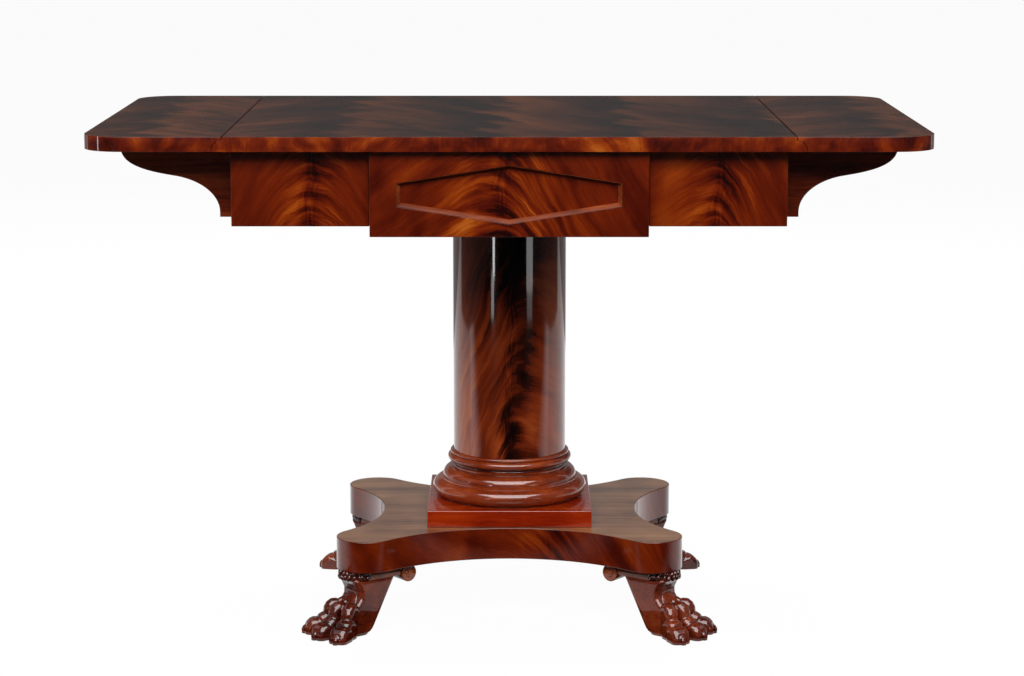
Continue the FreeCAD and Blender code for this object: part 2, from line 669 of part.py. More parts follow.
def drawer_side_outline():
    """Side board in its own plane, with dovetails at both ends."""
    front, back = -block_back - D.drawer_lap, D.drawer_back_station
    front_root, back_root = -block_back, D.drawer_back_station - D.drawer_back
    low, high = D.drawer_floor, D.drawer_wall_top
    tails = 3
    pitch = (high - low) / tails
    neck = pitch * 0.28
    flare = D.dovetail_flare
    corners = [(back_root, low)]
    for number in range(tails):
        middle = low + pitch * (number + 0.5)
        corners += [(back_root, middle - neck), (back, middle - neck - flare), (back, middle + neck + flare),
                    (back_root, middle + neck)]
    corners += [(back_root, high), (front_root, high)]
    for number in reversed(range(tails)):
        middle = low + pitch * (number + 0.5)
        corners += [(front_root, middle + neck), (front, middle + neck + flare),
                    (front, middle - neck - flare), (front_root, middle - neck)]
    corners += [(front_root, low)]
    return corners


def build_drawer():
    """Front with its sunk panel, two dovetailed sides, back, and a bottom that slides in grooves."""
    wide = D.drawer_half_width
    groove_x = wide - D.drawer_side + D.drawer_groove
    bottom_z = D.drawer_floor + D.drawer_bottom_lift
    bottom_y = (-block_back - D.drawer_groove, D.drawer_back_station)
    bottom = board("drawer_bottom_board", (-groove_x, groove_x), bottom_y,
                   (bottom_z, bottom_z + D.drawer_bottom))
    keep("drawer_bottom", bottom)
    blanks = {}
    for side, sign in SIDES.items():
        start = wide - D.drawer_side if sign > 0 else -wide
        blanks[side] = padded("drawer_%s_side" % side, "YZ_Plane", drawer_side_outline(), D.drawer_side,
                              offset=start)
        keep("drawer_%s_side" % side, cut("drawer_%s_worked" % side, blanks[side], [bottom]))
    sides = list(blanks.values())
    back_y = (D.drawer_back_station - D.drawer_back, D.drawer_back_station)
    back = board("drawer_back_board", (-wide, wide), back_y, (bottom_z + D.drawer_bottom, D.drawer_wall_top))
    keep("drawer_back", cut("drawer_back_worked", back, sides))
    face = panel_block("drawer_front", -D.block_face, -block_back, 1)
    keep("drawer_front", cut("drawer_front_worked", face, sides + [bottom]))
    build_moulding("drawer_front_moulding", -D.block_face, 1)
    keep("back_block", panel_block("back_block", D.block_face, frieze_y, -1))
    build_moulding("back_block_moulding", D.block_face, -1)


# Pedestal

def build_column():
    """Shaft with a spigot into the bearer and a long tenon into the platform, then the ring and the base."""
    foot_tenon = D.platform_bottom + D.stub_tenon
    shaft = turned("column_shaft", [
        (0, foot_tenon), (D.tenon_radius, foot_tenon), (D.tenon_radius, D.column_foot),
        (D.column_radius, D.column_foot), (D.column_radius, D.frieze_bottom),
        (D.spigot_radius, D.frieze_bottom), (D.spigot_radius, bearer_top), (0, bearer_top)])
    keep("column_shaft", cut("column_shaft_worked", shaft, [bearer_screws("column_pilots")]))
    keep("column_ring", turned("column_ring", [
        (D.tenon_radius, D.ring_bottom), (D.ring_neck, D.ring_bottom), (D.ring_neck, D.bead_bottom),
        (D.ring_radius, D.bead_bottom + D.bead_ease), (D.ring_radius, D.column_foot),
        (D.tenon_radius, D.column_foot)]))
    keep("column_base", turned("column_base", [
        (D.tenon_radius, D.plinth_top), (D.torus_seat_radius, D.plinth_top),
        (D.torus_radius, D.plinth_top + D.torus_ease), (D.torus_radius, D.base_fillet_bottom - D.torus_ease),
        (D.cushion_radius, D.base_fillet_bottom), (D.cushion_radius, D.cushion_bottom),
        (D.base_top_radius, D.ring_bottom), (D.tenon_radius, D.ring_bottom)]))


def build_plinth():
    """Square block under the turned base."""
    half = D.plinth_width / 2
    block = board("plinth", (-half, half), (-half, half), (D.plinth_bottom, D.plinth_top))
    bore = rod("plinth_bore", D.tenon_radius, 0, 0, D.plinth_bottom - 1, D.plinth_top - D.plinth_bottom + 2)
    keep("plinth_block", cut("plinth_worked", block, [bore]))


def platform_outline():
    """Four round lobes joined by hollow sides that run into them smoothly."""
    cx, cy, r = D.lobe_x, D.lobe_y, D.lobe_radius
    front, side = D.waist_front - cy, D.waist_side - cx
    front_radius = (cx * cx + front * front - r * r) / (2 * (r - front))
    side_radius = (cy * cy + side * side - r * r) / (2 * (r - side))
    front_share = r / (front_radius + r)
    side_share = r / (side_radius + r)
    front_x = cx - cx * front_share
    front_y = cy + (D.waist_front + front_radius - cy) * front_share
    side_x = cx + (D.waist_side + side_radius - cx) * side_share
    side_y = cy - cy * side_share
    return [(-front_x, -front_y, -front_radius), (front_x, -front_y, r), (side_x, -side_y, -side_radius),
            (side_x, side_y, r), (front_x, front_y, -front_radius), (-front_x, front_y, r),
            (-side_x, side_y, -side_radius), (-side_x, -side_y, r)]


def build_platform(pegs):
    """Lobed platform with a stopped mortise for the column and blind holes for the foot pegs."""
    body = padded("platform", "XY_Plane", platform_outline(), D.plinth_bottom - D.platform_bottom,
                  offset=D.platform_bottom)
    bore = rod("platform_mortise", D.tenon_radius, 0, 0, D.platform_bottom + D.stub_tenon,
               D.plinth_bottom - D.platform_bottom)
    keep("platform", cut("platform_worked", body, [bore, pegs]))


# Carved paw foot

TOE_STEPS = (-1, 0, 1)
TOE_STAGES = ("tendon", "ridge", "knuckle", "brow", "crease", "pad", "nail", "tip")


def toe_section(stage):
    """Chamfered outline of a toe where it has this stage's station, half width and height."""
    station, half, top = (float(getattr(D, stage + size)) for size in ("_station", "_half", "_top"))
    ease = half * float(D.toe_chamfer)
    outline = [(-half, 0), (half, 0), (half, top - ease), (half - ease, top), (ease - half, top),
               (-half, top - ease)]
    return [Vector(station, across, up) for across, up in outline]


def toe_solid(turn):
    """One toe with its ridge, knuckle and pad, made of flat faces between its sections."""
    toe = flat_solid([toe_section(stage) for stage in TOE_STAGES])
    toe.rotate(Vector(), Vector(0, 0, 1), turn)
    toe.translate(Vector(float(D.toe_root_station), 0, 0))
    return toe


def leg_side(height):
    """Side view of the leg: band, collar ledge, hollow ankle, instep, round heel and the slope behind."""
    band = height - float(D.band_thickness)
    scroll, reach = -float(D.scroll_station), float(D.collar_reach) - float(D.collar_ledge)
    ankle, ankle_z, hollow = float(D.ankle_station), float(D.ankle_height), float(D.ankle_hollow)
    instep, instep_z = ankle + float(D.instep_run), float(D.instep_height)
    back = -float(D.leg_back_station)
    corner = Vector(float(D.heel_station), 0, 0)
    slope = (Vector(back, 0, band) - corner).normalize()
    radius = float(D.heel_radius)
    tangent = radius / math.tan(math.acos(slope.x) / 2)
    heel_floor, heel_top = corner + Vector(tangent, 0, 0), corner + slope * tangent
    centre = heel_floor + Vector(0, 0, radius)
    heel_middle = centre + (corner - centre).normalize() * radius
    outline = [(scroll, height), (reach, height), (reach, band), (ankle + hollow / 4, ankle_z + hollow),
               (ankle, ankle_z), (ankle + hollow / 4, ankle_z - hollow), (instep, instep_z), (instep, 0)]
    points = [Vector(u, 0, z) for u, z in outline] + [heel_floor, heel_middle, heel_top]
    return flat_face(points + [Vector(back, 0, band), Vector(scroll, 0, band)])


def leg_front(height):
    """Front view of the leg: parallel under the band, drawn in at the ankle and spread at the floor."""
    half, waist, spread = (float(size) / 2 for size in (D.leg_width, D.ankle_width, D.heel_width))
    band = height - float(D.band_thickness)
    levels = [(half, height), (half, band), (waist, float(D.instep_height)), (spread, 0)]
    right = [Vector(0, across, z) for across, z in levels]
    left = [Vector(0, -across, z) for across, z in reversed(levels)]
    return flat_face(right + left)


def foot_solid():
    """Paw foot in its own frame: outwards along X, standing on the floor, under the centre of its lobe."""
    height, band = float(D.platform_bottom), float(D.band_thickness)
    room = float(D.leg_width) * 4
    side = leg_side(height).extrude(Vector(0, room, 0))
    side.translate(Vector(0, -room / 2, 0))
    front = leg_front(height).extrude(Vector(2 * room, 0, 0))
    front.translate(Vector(-room, 0, 0))
    paw = side.common(front)
    roll_width, roll_radius = float(D.scroll_width), float(D.scroll_radius)
    roll = flat_solid([polygon(roll_radius, D.scroll_sides, height) for height in (0, roll_width)])
    roll.rotate(Vector(), Vector(1, 0, 0), -90)
    roll.translate(Vector(-float(D.scroll_station), -roll_width / 2, height - roll_radius))
    reach, length, width = (float(size) for size in (D.collar_reach, D.collar_length, D.collar_width))
    collar = Part.makeBox(length, width, band, Vector(reach - length, -width / 2, height - band))
    collar = collar.common(Part.makeCylinder(reach, height))
    toes = [toe_solid(float(D.toe_spread) * step) for step in TOE_STEPS]
    for piece in [roll, collar] + toes:
        paw = paw.fuse(piece)
    return paw.removeSplitter()


def foot_placement(sx, sy):
    """Set a foot under its lobe, turned outwards."""
    turn = float(D.foot_turn)
    angle = {(1, -1): -turn, (1, 1): turn, (-1, 1): 180 - turn, (-1, -1): 180 + turn}[(sx, sy)]
    return Placement(Vector(sx * float(D.lobe_x), sy * float(D.lobe_y), 0), Rotation(Vector(0, 0, 1), angle))


def build_feet():
    """Four paw feet and the pegs that hold them in the platform."""
    levels = (D.platform_bottom - D.peg_half_length, D.platform_bottom + D.peg_half_length)
    peg = flat_solid([polygon(D.peg_radius, D.hardware_sides, height) for height in levels])
    peg.translate(Vector(-float(D.peg_offset), 0, 0))
    foot = foot_solid().cut(peg)
    pegs = []
    for end, sy in ENDS.items():
        for side, sx in SIDES.items():
            name = "%s_%s_paw_foot" % (end, side)
            obj = doc.addObject("Part::Feature", name + "_carving")
            obj.Shape = foot
            obj.Placement = foot_placement(sx, sy)
            keep(name, obj)
            copy = peg.copy()
            copy.Placement = foot_placement(sx, sy) * peg.Placement
            pegs.append(copy)
    return keep("foot_pegs", shape_object("foot_peg_group", pegs))


def check_and_write():
    """Stop on any failed object, then write each sub-part to its own file."""
    doc.recompute()
    for obj in doc.Objects:
        if "Invalid" in obj.State or "Error" in obj.State:
            raise RuntimeError("%s failed: %s" % (obj.Label, obj.State))
    for name, obj in PIECES.items():
        if obj.Shape.isNull() or not obj.Shape.isValid() or not obj.Shape.Solids:
            raise RuntimeError("%s has no valid solid" % name)
    os.makedirs("parts", exist_ok=True)
    for name, obj in PIECES.items():
        obj.Shape.exportStep(os.path.join("parts", name + ".step"))
        print("%-28s solids %2d  volume %9.1f cm3" % (name, len(obj.Shape.Solids), obj.Shape.Volume / 1000))


build_top()
for side_name, side_sign in SIDES.items():
    build_leaf(side_name, side_sign)
    build_hinges(side_name, side_sign)
build_fixed_screws()
build_frieze()
build_fly_supports()
build_drawer()
build_column()
build_plinth()
build_platform(build_feet())
check_and_write()
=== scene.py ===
"""Dresses the sofa table: polished boards, a turned column, carved paws, studio and camera."""
import logging
import math
import random
from collections.abc import Callable, Iterator, Sequence
from contextlib import contextmanager
from dataclasses import dataclass, field, replace
from enum import Enum
from itertools import pairwise
from typing import Any

import bpy
from bpy.types import ColorRamp, Material, NodeSocket, NodeTree, Object, Scene
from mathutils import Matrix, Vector
from mathutils.geometry import interpolate_bezier


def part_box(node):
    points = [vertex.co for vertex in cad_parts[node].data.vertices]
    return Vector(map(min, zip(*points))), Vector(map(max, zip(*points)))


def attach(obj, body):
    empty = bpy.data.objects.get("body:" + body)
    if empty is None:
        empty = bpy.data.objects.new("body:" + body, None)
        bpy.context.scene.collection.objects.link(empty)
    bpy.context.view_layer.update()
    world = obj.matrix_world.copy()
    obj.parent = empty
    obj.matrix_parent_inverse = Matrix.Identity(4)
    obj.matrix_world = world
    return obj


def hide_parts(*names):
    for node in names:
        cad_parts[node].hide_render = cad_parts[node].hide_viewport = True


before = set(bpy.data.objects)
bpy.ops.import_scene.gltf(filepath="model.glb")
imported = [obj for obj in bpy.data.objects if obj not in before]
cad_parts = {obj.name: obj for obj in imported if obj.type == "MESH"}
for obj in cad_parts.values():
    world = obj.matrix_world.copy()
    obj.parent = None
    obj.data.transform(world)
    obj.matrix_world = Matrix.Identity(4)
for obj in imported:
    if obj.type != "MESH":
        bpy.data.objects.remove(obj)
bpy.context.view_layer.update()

LOG = logging.getLogger("sofa_table")
MM = 0.001
SHAFT_RADIUS = 0.0865
WHITE = (1.0, 1.0, 1.0, 1.0)
# How far a normal may lean from level on a piece's sides, and how well it must look along an axis.
UPRIGHT, FACING = 0.7, 0.72
SIDES = ("left", "right")
CORNERS = ("front_left", "front_right", "back_left", "back_right")
Pair = tuple[float, float]
Triple = tuple[float, float, float]
Tones = tuple[tuple[float, Triple], ...]


class Value:
    """A socket of a node sheet that takes plain arithmetic."""

    def __init__(self, sheet: "NodeSheet", socket: NodeSocket) -> None:
        """Wrap one output socket."""
        self.sheet = sheet
        self.socket = socket

    def other(self, output: int | str) -> "Value":
        """Another output of the same node."""
        return Value(self.sheet, self.socket.node.outputs[output])

    def __add__(self, term: "Value | float") -> "Value":
        """Sum."""
        return self.sheet.math("ADD", self, term)

    def __sub__(self, term: "Value | float") -> "Value":
        """Difference."""
        return self.sheet.math("SUBTRACT", self, term)

    def __mul__(self, term: "Value | float") -> "Value":
        """Product."""
        return self.sheet.math("MULTIPLY", self, term)

    def __rsub__(self, term: float) -> "Value":
        """A number less this value."""
        return self.sheet.math("SUBTRACT", term, self)

    def __neg__(self) -> "Value":
        """Opposite."""
        return self.sheet.math("MULTIPLY", self, -1.0)

    __radd__ = __add__
    __rmul__ = __mul__

    def step(self, low: float, high: float) -> "Value":
        """Rise smoothly from 0 at low to 1 at high."""
        return self.sheet.add("ShaderNodeMapRange", {"interpolation_type": "SMOOTHSTEP"},
                              {"Value": self, "From Min": low, "From Max": high})


class NodeSheet:
    """The nodes of one material or world."""

    def __init__(self, tree: NodeTree) -> None:
        """Start from an empty sheet."""
        self.tree = tree
        tree.nodes.clear()

    def add(self, kind: str, settings: dict[str, Any] | None = None,
            inputs: dict[int | str, Any] | None = None, output: int | str = 0) -> Value:
        """Add any node.

        Args:
            kind: the node's type.
            settings: its properties, set first; "stops" fills a ramp.
            inputs: values or links of its sockets.
            output: the socket that is handed back.

        Returns:
            The wrapped output socket.
        """
        node = self.tree.nodes.new(kind)
        for name, setting in (settings or {}).items():
            if name == "stops":
                self._fill(node.color_ramp, setting)
            else:
                setattr(node, name, setting)
        for key, value in (inputs or {}).items():
            if isinstance(value, Value):
                self.tree.links.new(value.socket, node.inputs[key])
            else:
                node.inputs[key].default_value = value
        return Value(self, node.outputs[output])

    @staticmethod
    def _fill(ramp: ColorRamp, stops: Tones) -> None:
        """Give a ramp its colours.

        Args:
            ramp: the ramp.
            stops: its places and colours.
        """
        for _ in stops[2:]:
            ramp.elements.new(0.5)
        for element, (place, colour) in zip(ramp.elements, stops):
            element.position = place
            element.color = (*colour, 1.0)

    def math(self, operation: str, *terms: Value | float) -> Value:
        """Add a Math node on values and numbers."""
        return self.add("ShaderNodeMath", {"operation": operation}, dict(enumerate(terms)))

    def vector(self, operation: str, *terms: Value | Triple, output: int = 0) -> Value:
        """Add a Vector Math node."""
        settings = {"operation": operation}
        return self.add("ShaderNodeVectorMath", settings, dict(enumerate(terms)), output)

    def scaled(self, vector: Value, factors: Triple) -> Value:
        """Stretch a vector along each axis."""
        return self.vector("MULTIPLY", vector, factors)

    def combine(self, x: Value | float, y: Value | float, z: Value | float) -> Value:
        """Make a vector from three values."""
        return self.add("ShaderNodeCombineXYZ", None, {0: x, 1: y, 2: z})

    def axes(self, vector: Value) -> tuple[Value, Value, Value]:
        """Take a vector apart."""
        x = self.add("ShaderNodeSeparateXYZ", None, {0: vector})
        return x, x.other(1), x.other(2)

    def dot(self, vector: Value, axis: Triple) -> Value:
        """Length of a vector along an axis."""
        return self.vector("DOT_PRODUCT", vector, axis, output=1)

    def noise(self, vector: Value, scale: float = 1.0, detail: float = 3.0, rough: float = 0.5,
              output: int = 0) -> Value:
        """Add a noise texture, grey or in colour."""
        inputs = {"Vector": vector, "Scale": scale, "Detail": detail, "Roughness": rough}
        return self.add("ShaderNodeTexNoise", None, inputs, output)

    def grain(self, x: Value, y: Value | float, z: Value | float, detail: float = 3.0,
              rough: float = 0.6) -> Value:
        """Noise about zero over stretched coordinates."""
        return self.noise(self.combine(x, y, z), 1.0, detail, rough) - 0.5

    def place(self) -> Value:
        """The point on the object, in metres."""
        return self.add("ShaderNodeTexCoord", output="Object")

    def ramp(self, value: Value, stops: Tones) -> Value:
        """Colour a value."""
        return self.add("ShaderNodeValToRGB", {"stops": stops}, {0: value})

    def bell(self, value: Value, width: float) -> Value:
        """Soft hump of height 1 round zero."""
        return self.math("EXPONENT", -(value * value) * (1.0 / width ** 2))

    def close(self, shader: Value, kind: str = "ShaderNodeOutputMaterial") -> None:
        """Link the last shader to the sheet's output."""
        self.tree.links.new(shader.socket, self.tree.nodes.new(kind).inputs[0])

    def wander(self, place: Value, scale: float, reach: float) -> Value:
        """Push points about by a slow noise.

        Args:
            place: the points.
            scale: how often the push changes, per metre.
            reach: how far it goes, in metres.

        Returns:
            The moved points.
        """
        push = self.vector("SUBTRACT", self.noise(place, scale, 2.0, output=1), (0.5, 0.5, 0.5))
        return self.vector("ADD", place, self.scaled(push, (2 * reach,) * 3))


def new_sheet(name: str) -> tuple[Material, NodeSheet]:
    """Start a material of its own.

    Args:
        name: the material's name.

    Returns:
        The material and its empty sheet.
    """
    material = bpy.data.materials.new(name)
    material.use_nodes = True
    return material, NodeSheet(material.node_tree)


class Wrap(Enum):
    """How a figure lies on its piece."""

    FLAT = "flat"
    ROUND = "round"


# Colours of each wood, from its darkest to its brightest part.
FLAME_TONES: Tones = (
    (0.12, (0.010, 0.0007, 0.0003)), (0.34, (0.058, 0.0036, 0.0007)),
    (0.52, (0.132, 0.0125, 0.0014)), (0.68, (0.235, 0.034, 0.0026)), (0.9, (0.40, 0.095, 0.010)))
TOP_TONES: Tones = (
    (0.14, (0.004, 0.0016, 0.0014)), (0.34, (0.018, 0.0055, 0.0036)),
    (0.52, (0.056, 0.0145, 0.0062)), (0.70, (0.135, 0.036, 0.011)), (0.92, (0.25, 0.08, 0.025)))
COLUMN_TONES: Tones = (
    (0.12, (0.0035, 0.0011, 0.0008)), (0.32, (0.024, 0.0032, 0.0012)),
    (0.52, (0.100, 0.0118, 0.0027)), (0.70, (0.20, 0.031, 0.006)), (0.92, (0.33, 0.08, 0.016)))
RED_TONES: Tones = (
    (0.2, (0.105, 0.0042, 0.0005)), (0.45, (0.22, 0.0128, 0.001)), (0.62, (0.29, 0.024, 0.0018)),
    (0.85, (0.40, 0.058, 0.006)))
TURNED_TONES: Tones = (
    (0.1, (0.022, 0.0022, 0.0006)), (0.3, (0.095, 0.0095, 0.0018)), (0.5, (0.178, 0.024, 0.0045)),
    (0.66, (0.25, 0.041, 0.0085)), (0.88, (0.36, 0.080, 0.018)))
BROWN_TONES: Tones = (
    (0.2, (0.072, 0.024, 0.009)), (0.42, (0.172, 0.066, 0.024)), (0.60, (0.26, 0.112, 0.043)),
    (0.85, (0.39, 0.20, 0.083)))
DARK_TONES: Tones = (
    (0.2, (0.014, 0.0018, 0.0008)), (0.45, (0.048, 0.0052, 0.0016)), (0.65, (0.10, 0.014, 0.0035)),
    (0.88, (0.19, 0.034, 0.008)))
# Dark mahogany lightened about twofold for the brackets: painted light, making up for the shade
# that the leaves cast on them.
BRACKET_PAINTED_LIGHT_TONES: Tones = (
    (0.2, (0.03, 0.004, 0.0015)), (0.45, (0.105, 0.0125, 0.0032)), (0.65, (0.20, 0.03, 0.007)),
    (0.88, (0.34, 0.065, 0.015)))
CARVED_TONES: Tones = (
    (0.1, (0.004, 0.0006, 0.0003)), (0.3, (0.036, 0.0032, 0.0009)), (0.5, (0.105, 0.0115, 0.0027)),
    (0.68, (0.180, 0.027, 0.0065)), (0.9, (0.28, 0.055, 0.014)))
# The band under the lobes is lighter than the carving round it: painted light, where the platform
# shades it.
BAND_PAINTED_LIGHT_TONES: Tones = (
    (0.2, (0.09, 0.013, 0.003)), (0.5, (0.24, 0.046, 0.011)), (0.8, (0.37, 0.09, 0.024)))
LEAF_TONES: Tones = (
    (0.15, (0.003, 0.0006, 0.0004)), (0.5, (0.038, 0.0048, 0.0020)), (0.85, (0.115, 0.017, 0.005)))
MOULDING_TONES: Tones = (
    (0.2, (0.075, 0.0095, 0.0016)), (0.45, (0.19, 0.032, 0.005)), (0.65, (0.30, 0.062, 0.011)),
    (0.88, (0.42, 0.11, 0.022)))
PINE_TONES: Tones = (
    (0.2, (0.22, 0.115, 0.045)), (0.5, (0.36, 0.205, 0.095)), (0.8, (0.47, 0.30, 0.15)))


@dataclass(frozen=True)
class Polish:
    """Gloss of a surface; the same all over a piece."""

    gloss: float = 0.06
    coat: float = 1.0
    coat_rough: float = 0.05


class Finish:
    """Base of all finishes: makes one material and keeps it."""

    made: dict[str, Material] = {}
    name: str

    def material(self) -> Material:
        """Give the material, made the first time it is asked for.

        Returns:
            The one material of this finish.
        """
        if self.name not in Finish.made:
            material, sheet = new_sheet(self.name)
            self.build(sheet)
            Finish.made[self.name] = material
        return Finish.made[self.name]

    def build(self, sheet: NodeSheet) -> None:
        """Fill the material's sheet."""
        raise NotImplementedError

    @staticmethod
    def surface(sheet: NodeSheet, colour: Value, rough: Value, polish: Polish, relief: Value,
                depth: float, metal: float = 0.0, coat: Value | None = None) -> None:
        """Close a sheet with its shader.

        Args:
            sheet: the material's nodes.
            colour: the base colour.
            rough: the roughness.
            polish: the gloss that is the same all over.
            relief: height of the fine surface, from 0 to 1.
            depth: height of that relief in metres.
            metal: 1 for a metal.
            coat: weight of the coat where it varies.
        """
        height = {"Strength": 0.5, "Distance": depth, "Height": relief}
        bump = sheet.add("ShaderNodeBump", None, height)
        sheet.close(sheet.add("ShaderNodeBsdfPrincipled", None, {
            "Base Color": colour, "Roughness": rough, "Metallic": metal, "Normal": bump,
            "Specular IOR Level": polish.gloss, "Coat Roughness": polish.coat_rough,
            "Coat Weight": polish.coat if coat is None else coat}))


@dataclass(frozen=True)
class Cloud:
    """A soft light or dark place in a figure."""

    across: float
    along: float
    size: Pair
    lift: float


@dataclass(frozen=True)
class FlameFinish(Finish):
    """Figured veneer: feathered arcs that fan off a dark heart."""

    name: str
    origin: Triple
    across: Triple = (1, 0, 0)
    along: Triple = (0, 0, 1)
    wrap: Wrap = Wrap.FLAT
    repeat: float = 0.0
    slip: float = 0.0
    slip_depth: float = 0.5
    arch: float = 2.0
    skew: float = 0.0
    bend: float = 0.06
    reach: float = 0.016
    bands: float = 58.0
    band_depth: float = 1.7
    streaks: float = 240.0
    streak_depth: float = 0.42
    spread: float = 0.045
    calm: float = 0.14
    heart: float = 0.2
    heart_width: float = 0.012
    tongues: float = 60.0
    feather: float = 0.02
    slivers: float = 0.8
    patches: float = 0.65
    patch_scale: float = 13.0
    clouds: tuple[Cloud, ...] = ()
    joint: float = 0.0
    lift: float = 0.0
    tones: Tones = FLAME_TONES
    polish: Polish = Polish()
    sway: Pair = (9.0, 60.0)
    ripple: float = 0.16
    sliver_width: float = 0.009
    slip_edge: Pair = (0.2, 0.4)
    joint_half: float = 0.0016
    pore_range: Pair = (0.34, 0.46)
    pore_depth: float = 0.05

    def lie(self, sheet: NodeSheet, place: Value) -> tuple[Value, Value]:
        """Measure points across and along the figure's spine.

        Args:
            sheet: the material's nodes.
            place: points from the figure's origin.

        Returns:
            Distance across and distance along.
        """
        if self.wrap is Wrap.ROUND:
            x, y, z = sheet.axes(place)
            return sheet.math("ARCTAN2", x, -y) * SHAFT_RADIUS, z
        across = sheet.dot(place, self.across)
        if self.repeat:
            across = sheet.math("PINGPONG", across, self.repeat / 2)
        return across, sheet.dot(place, self.along)

    def build(self, sheet: NodeSheet) -> None:
        """Fill the sheet with the figure.

        Args:
            sheet: the material's nodes.
        """
        place = sheet.vector("SUBTRACT", sheet.place(), self.origin)
        slow, quick = self.sway
        moved = sheet.wander(sheet.wander(place, slow, self.reach), quick, self.reach * self.ripple)
        u, v = self.lie(sheet, moved)
        side = sheet.math("SQRT", u * u + self.bend ** 2) - self.bend
        arc = v + side * self.arch + u * self.skew
        # A fixed third coordinate only sets one grain apart from the others.
        tongue = sheet.grain(arc * self.tongues, u * 5.0, 2.3, 4.0)
        band = sheet.grain(arc * self.bands, u * 9.0, 3.7, rough=0.55)
        streak = sheet.grain(arc * self.streaks, u * 16.0, v * 5.0)
        patch = sheet.grain(arc * self.patch_scale, u * self.patch_scale, 8.1, 2.0, 0.5)
        sliver = sheet.grain(u * 240.0, v * 22.0, 5.0, 2.0)
        pores = sheet.noise(sheet.combine(arc * 1100.0, u * 120.0, 1.3), 1.0, 1.0)
        strength = sheet.bell(u, self.spread) * (1.0 - self.calm) + self.calm
        near, level = u + tongue * self.feather, v + tongue * self.feather
        tone = (0.5 + self.lift + (band * self.band_depth + streak * self.streak_depth) * strength
                + patch * self.patches - sheet.bell(near, self.heart_width) * self.heart
                + sliver * sheet.bell(u, self.sliver_width) * self.slivers)
        for cloud in self.clouds:
            wide, tall = cloud.size
            spot = sheet.bell(near - cloud.across, wide) * sheet.bell(level - cloud.along, tall)
            tone = tone + spot * cloud.lift
        if self.slip:
            turn = sheet.math("FRACT", near * (1.0 / self.slip))
            edge, mean = self.slip_edge
            tone = tone + (turn.step(0.0, edge) * (1.0 - turn) - mean) * self.slip_depth
        coat = None
        if self.joint:
            gap = sheet.math("ABSOLUTE", sheet.dot(sheet.place(), (1, 0, 0))) - self.joint
            line = sheet.math("LESS_THAN", sheet.math("ABSOLUTE", gap), self.joint_half)
            tone, coat = tone - line, 1.0 - line
        tone = tone - (1.0 - pores.step(*self.pore_range)) * self.pore_depth
        colour = sheet.ramp(tone, self.tones)
        relief = pores + sheet.noise(place, 40.0, 1.0) * 2.0
        self.surface(sheet, colour, 0.18 + pores * 0.12, self.polish, relief, 0.0001, coat=coat)


@dataclass(frozen=True)
class PlainFinish(Finish):
    """Straight-grained wood, polished or bare."""

    name: str
    grain: Triple = (6.0, 190.0, 190.0)
    tones: Tones = RED_TONES
    polish: Polish = Polish()
    rough: float = 0.2
    reach: float = 0.006
    crease_shade_and_wear: float = 0.0
    broader: float = 0.16
    finer: float = 7.0
    pore_range: Pair = (0.33, 0.45)

    def build(self, sheet: NodeSheet) -> None:
        """Fill the sheet with long streaks and pores.

        Args:
            sheet: the material's nodes.
        """
        place = sheet.wander(sheet.place(), 6.0, self.reach)
        fine = sheet.noise(sheet.scaled(place, self.grain), 1.0, 3.0, 0.6)
        wide_grain = tuple(pitch * self.broader for pitch in self.grain)
        pore_grain = tuple(pitch * self.finer for pitch in self.grain)
        wide = sheet.noise(sheet.scaled(place, wide_grain), 1.0, 2.0)
        cloud = sheet.noise(place, 14.0, 2.0)
        pores = sheet.noise(sheet.scaled(place, pore_grain), 1.0, 1.0)
        tone = 0.5 + (fine - 0.5) * 0.6 + (wide - 0.5) * 0.7 + (cloud - 0.5) * 0.5
        tone = tone - (1.0 - pores.step(*self.pore_range)) * 0.1
        # Painted shade: darker in creases and hollows, found by pointiness; ridges come out a
        # little lighter, as wear.
        if self.crease_shade_and_wear:
            point = sheet.add("ShaderNodeNewGeometry", output="Pointiness")
            tone = tone + (point.step(0.43, 0.5) - 1.0 + point.step(0.51, 0.62) * 0.25) * self.crease_shade_and_wear
        colour = sheet.ramp(tone, self.tones)
        relief = pores + sheet.noise(place, 60.0, 1.0)
        self.surface(sheet, colour, self.rough + pores * 0.12, self.polish, relief, 0.00015)


@dataclass(frozen=True)
class EdgeFinish(Finish):
    """Cross-grained veneer on the edge of the top, darker towards the round corners."""

    name: str
    corner: Pair = (0.52, 0.57)
    shade: float = 0.12
    level: float = 0.75
    slant: float = 6.0
    tones: Tones = FLAME_TONES
    polish: Polish = Polish()

    def build(self, sheet: NodeSheet) -> None:
        """Fill the sheet with soft blotches and short slanting streaks.

        Args:
            sheet: the material's nodes.
        """
        place = sheet.place()
        x, y, z = sheet.axes(place)
        along, rise = x + y, z - self.level
        run = along + rise * (sheet.grain(along * 7.0, 0.0, 4.0, 1.0, 0.5) * self.slant)
        fine = sheet.grain(run * 300.0, rise * 14.0, 2.0)
        band = sheet.grain(run * 34.0, rise * 26.0, 1.0)
        blotch = sheet.noise(sheet.scaled(place, (13.0, 13.0, 26.0)), 1.0, 2.0) - 0.5
        outer = sheet.math("ABSOLUTE", x).step(*self.corner)
        tone = 0.5 + fine * 0.22 + band * 0.9 + blotch - outer * self.shade
        colour = sheet.ramp(tone, self.tones)
        self.surface(sheet, colour, 0.2 + fine * 0.1, self.polish, fine + 0.5, 0.0001)


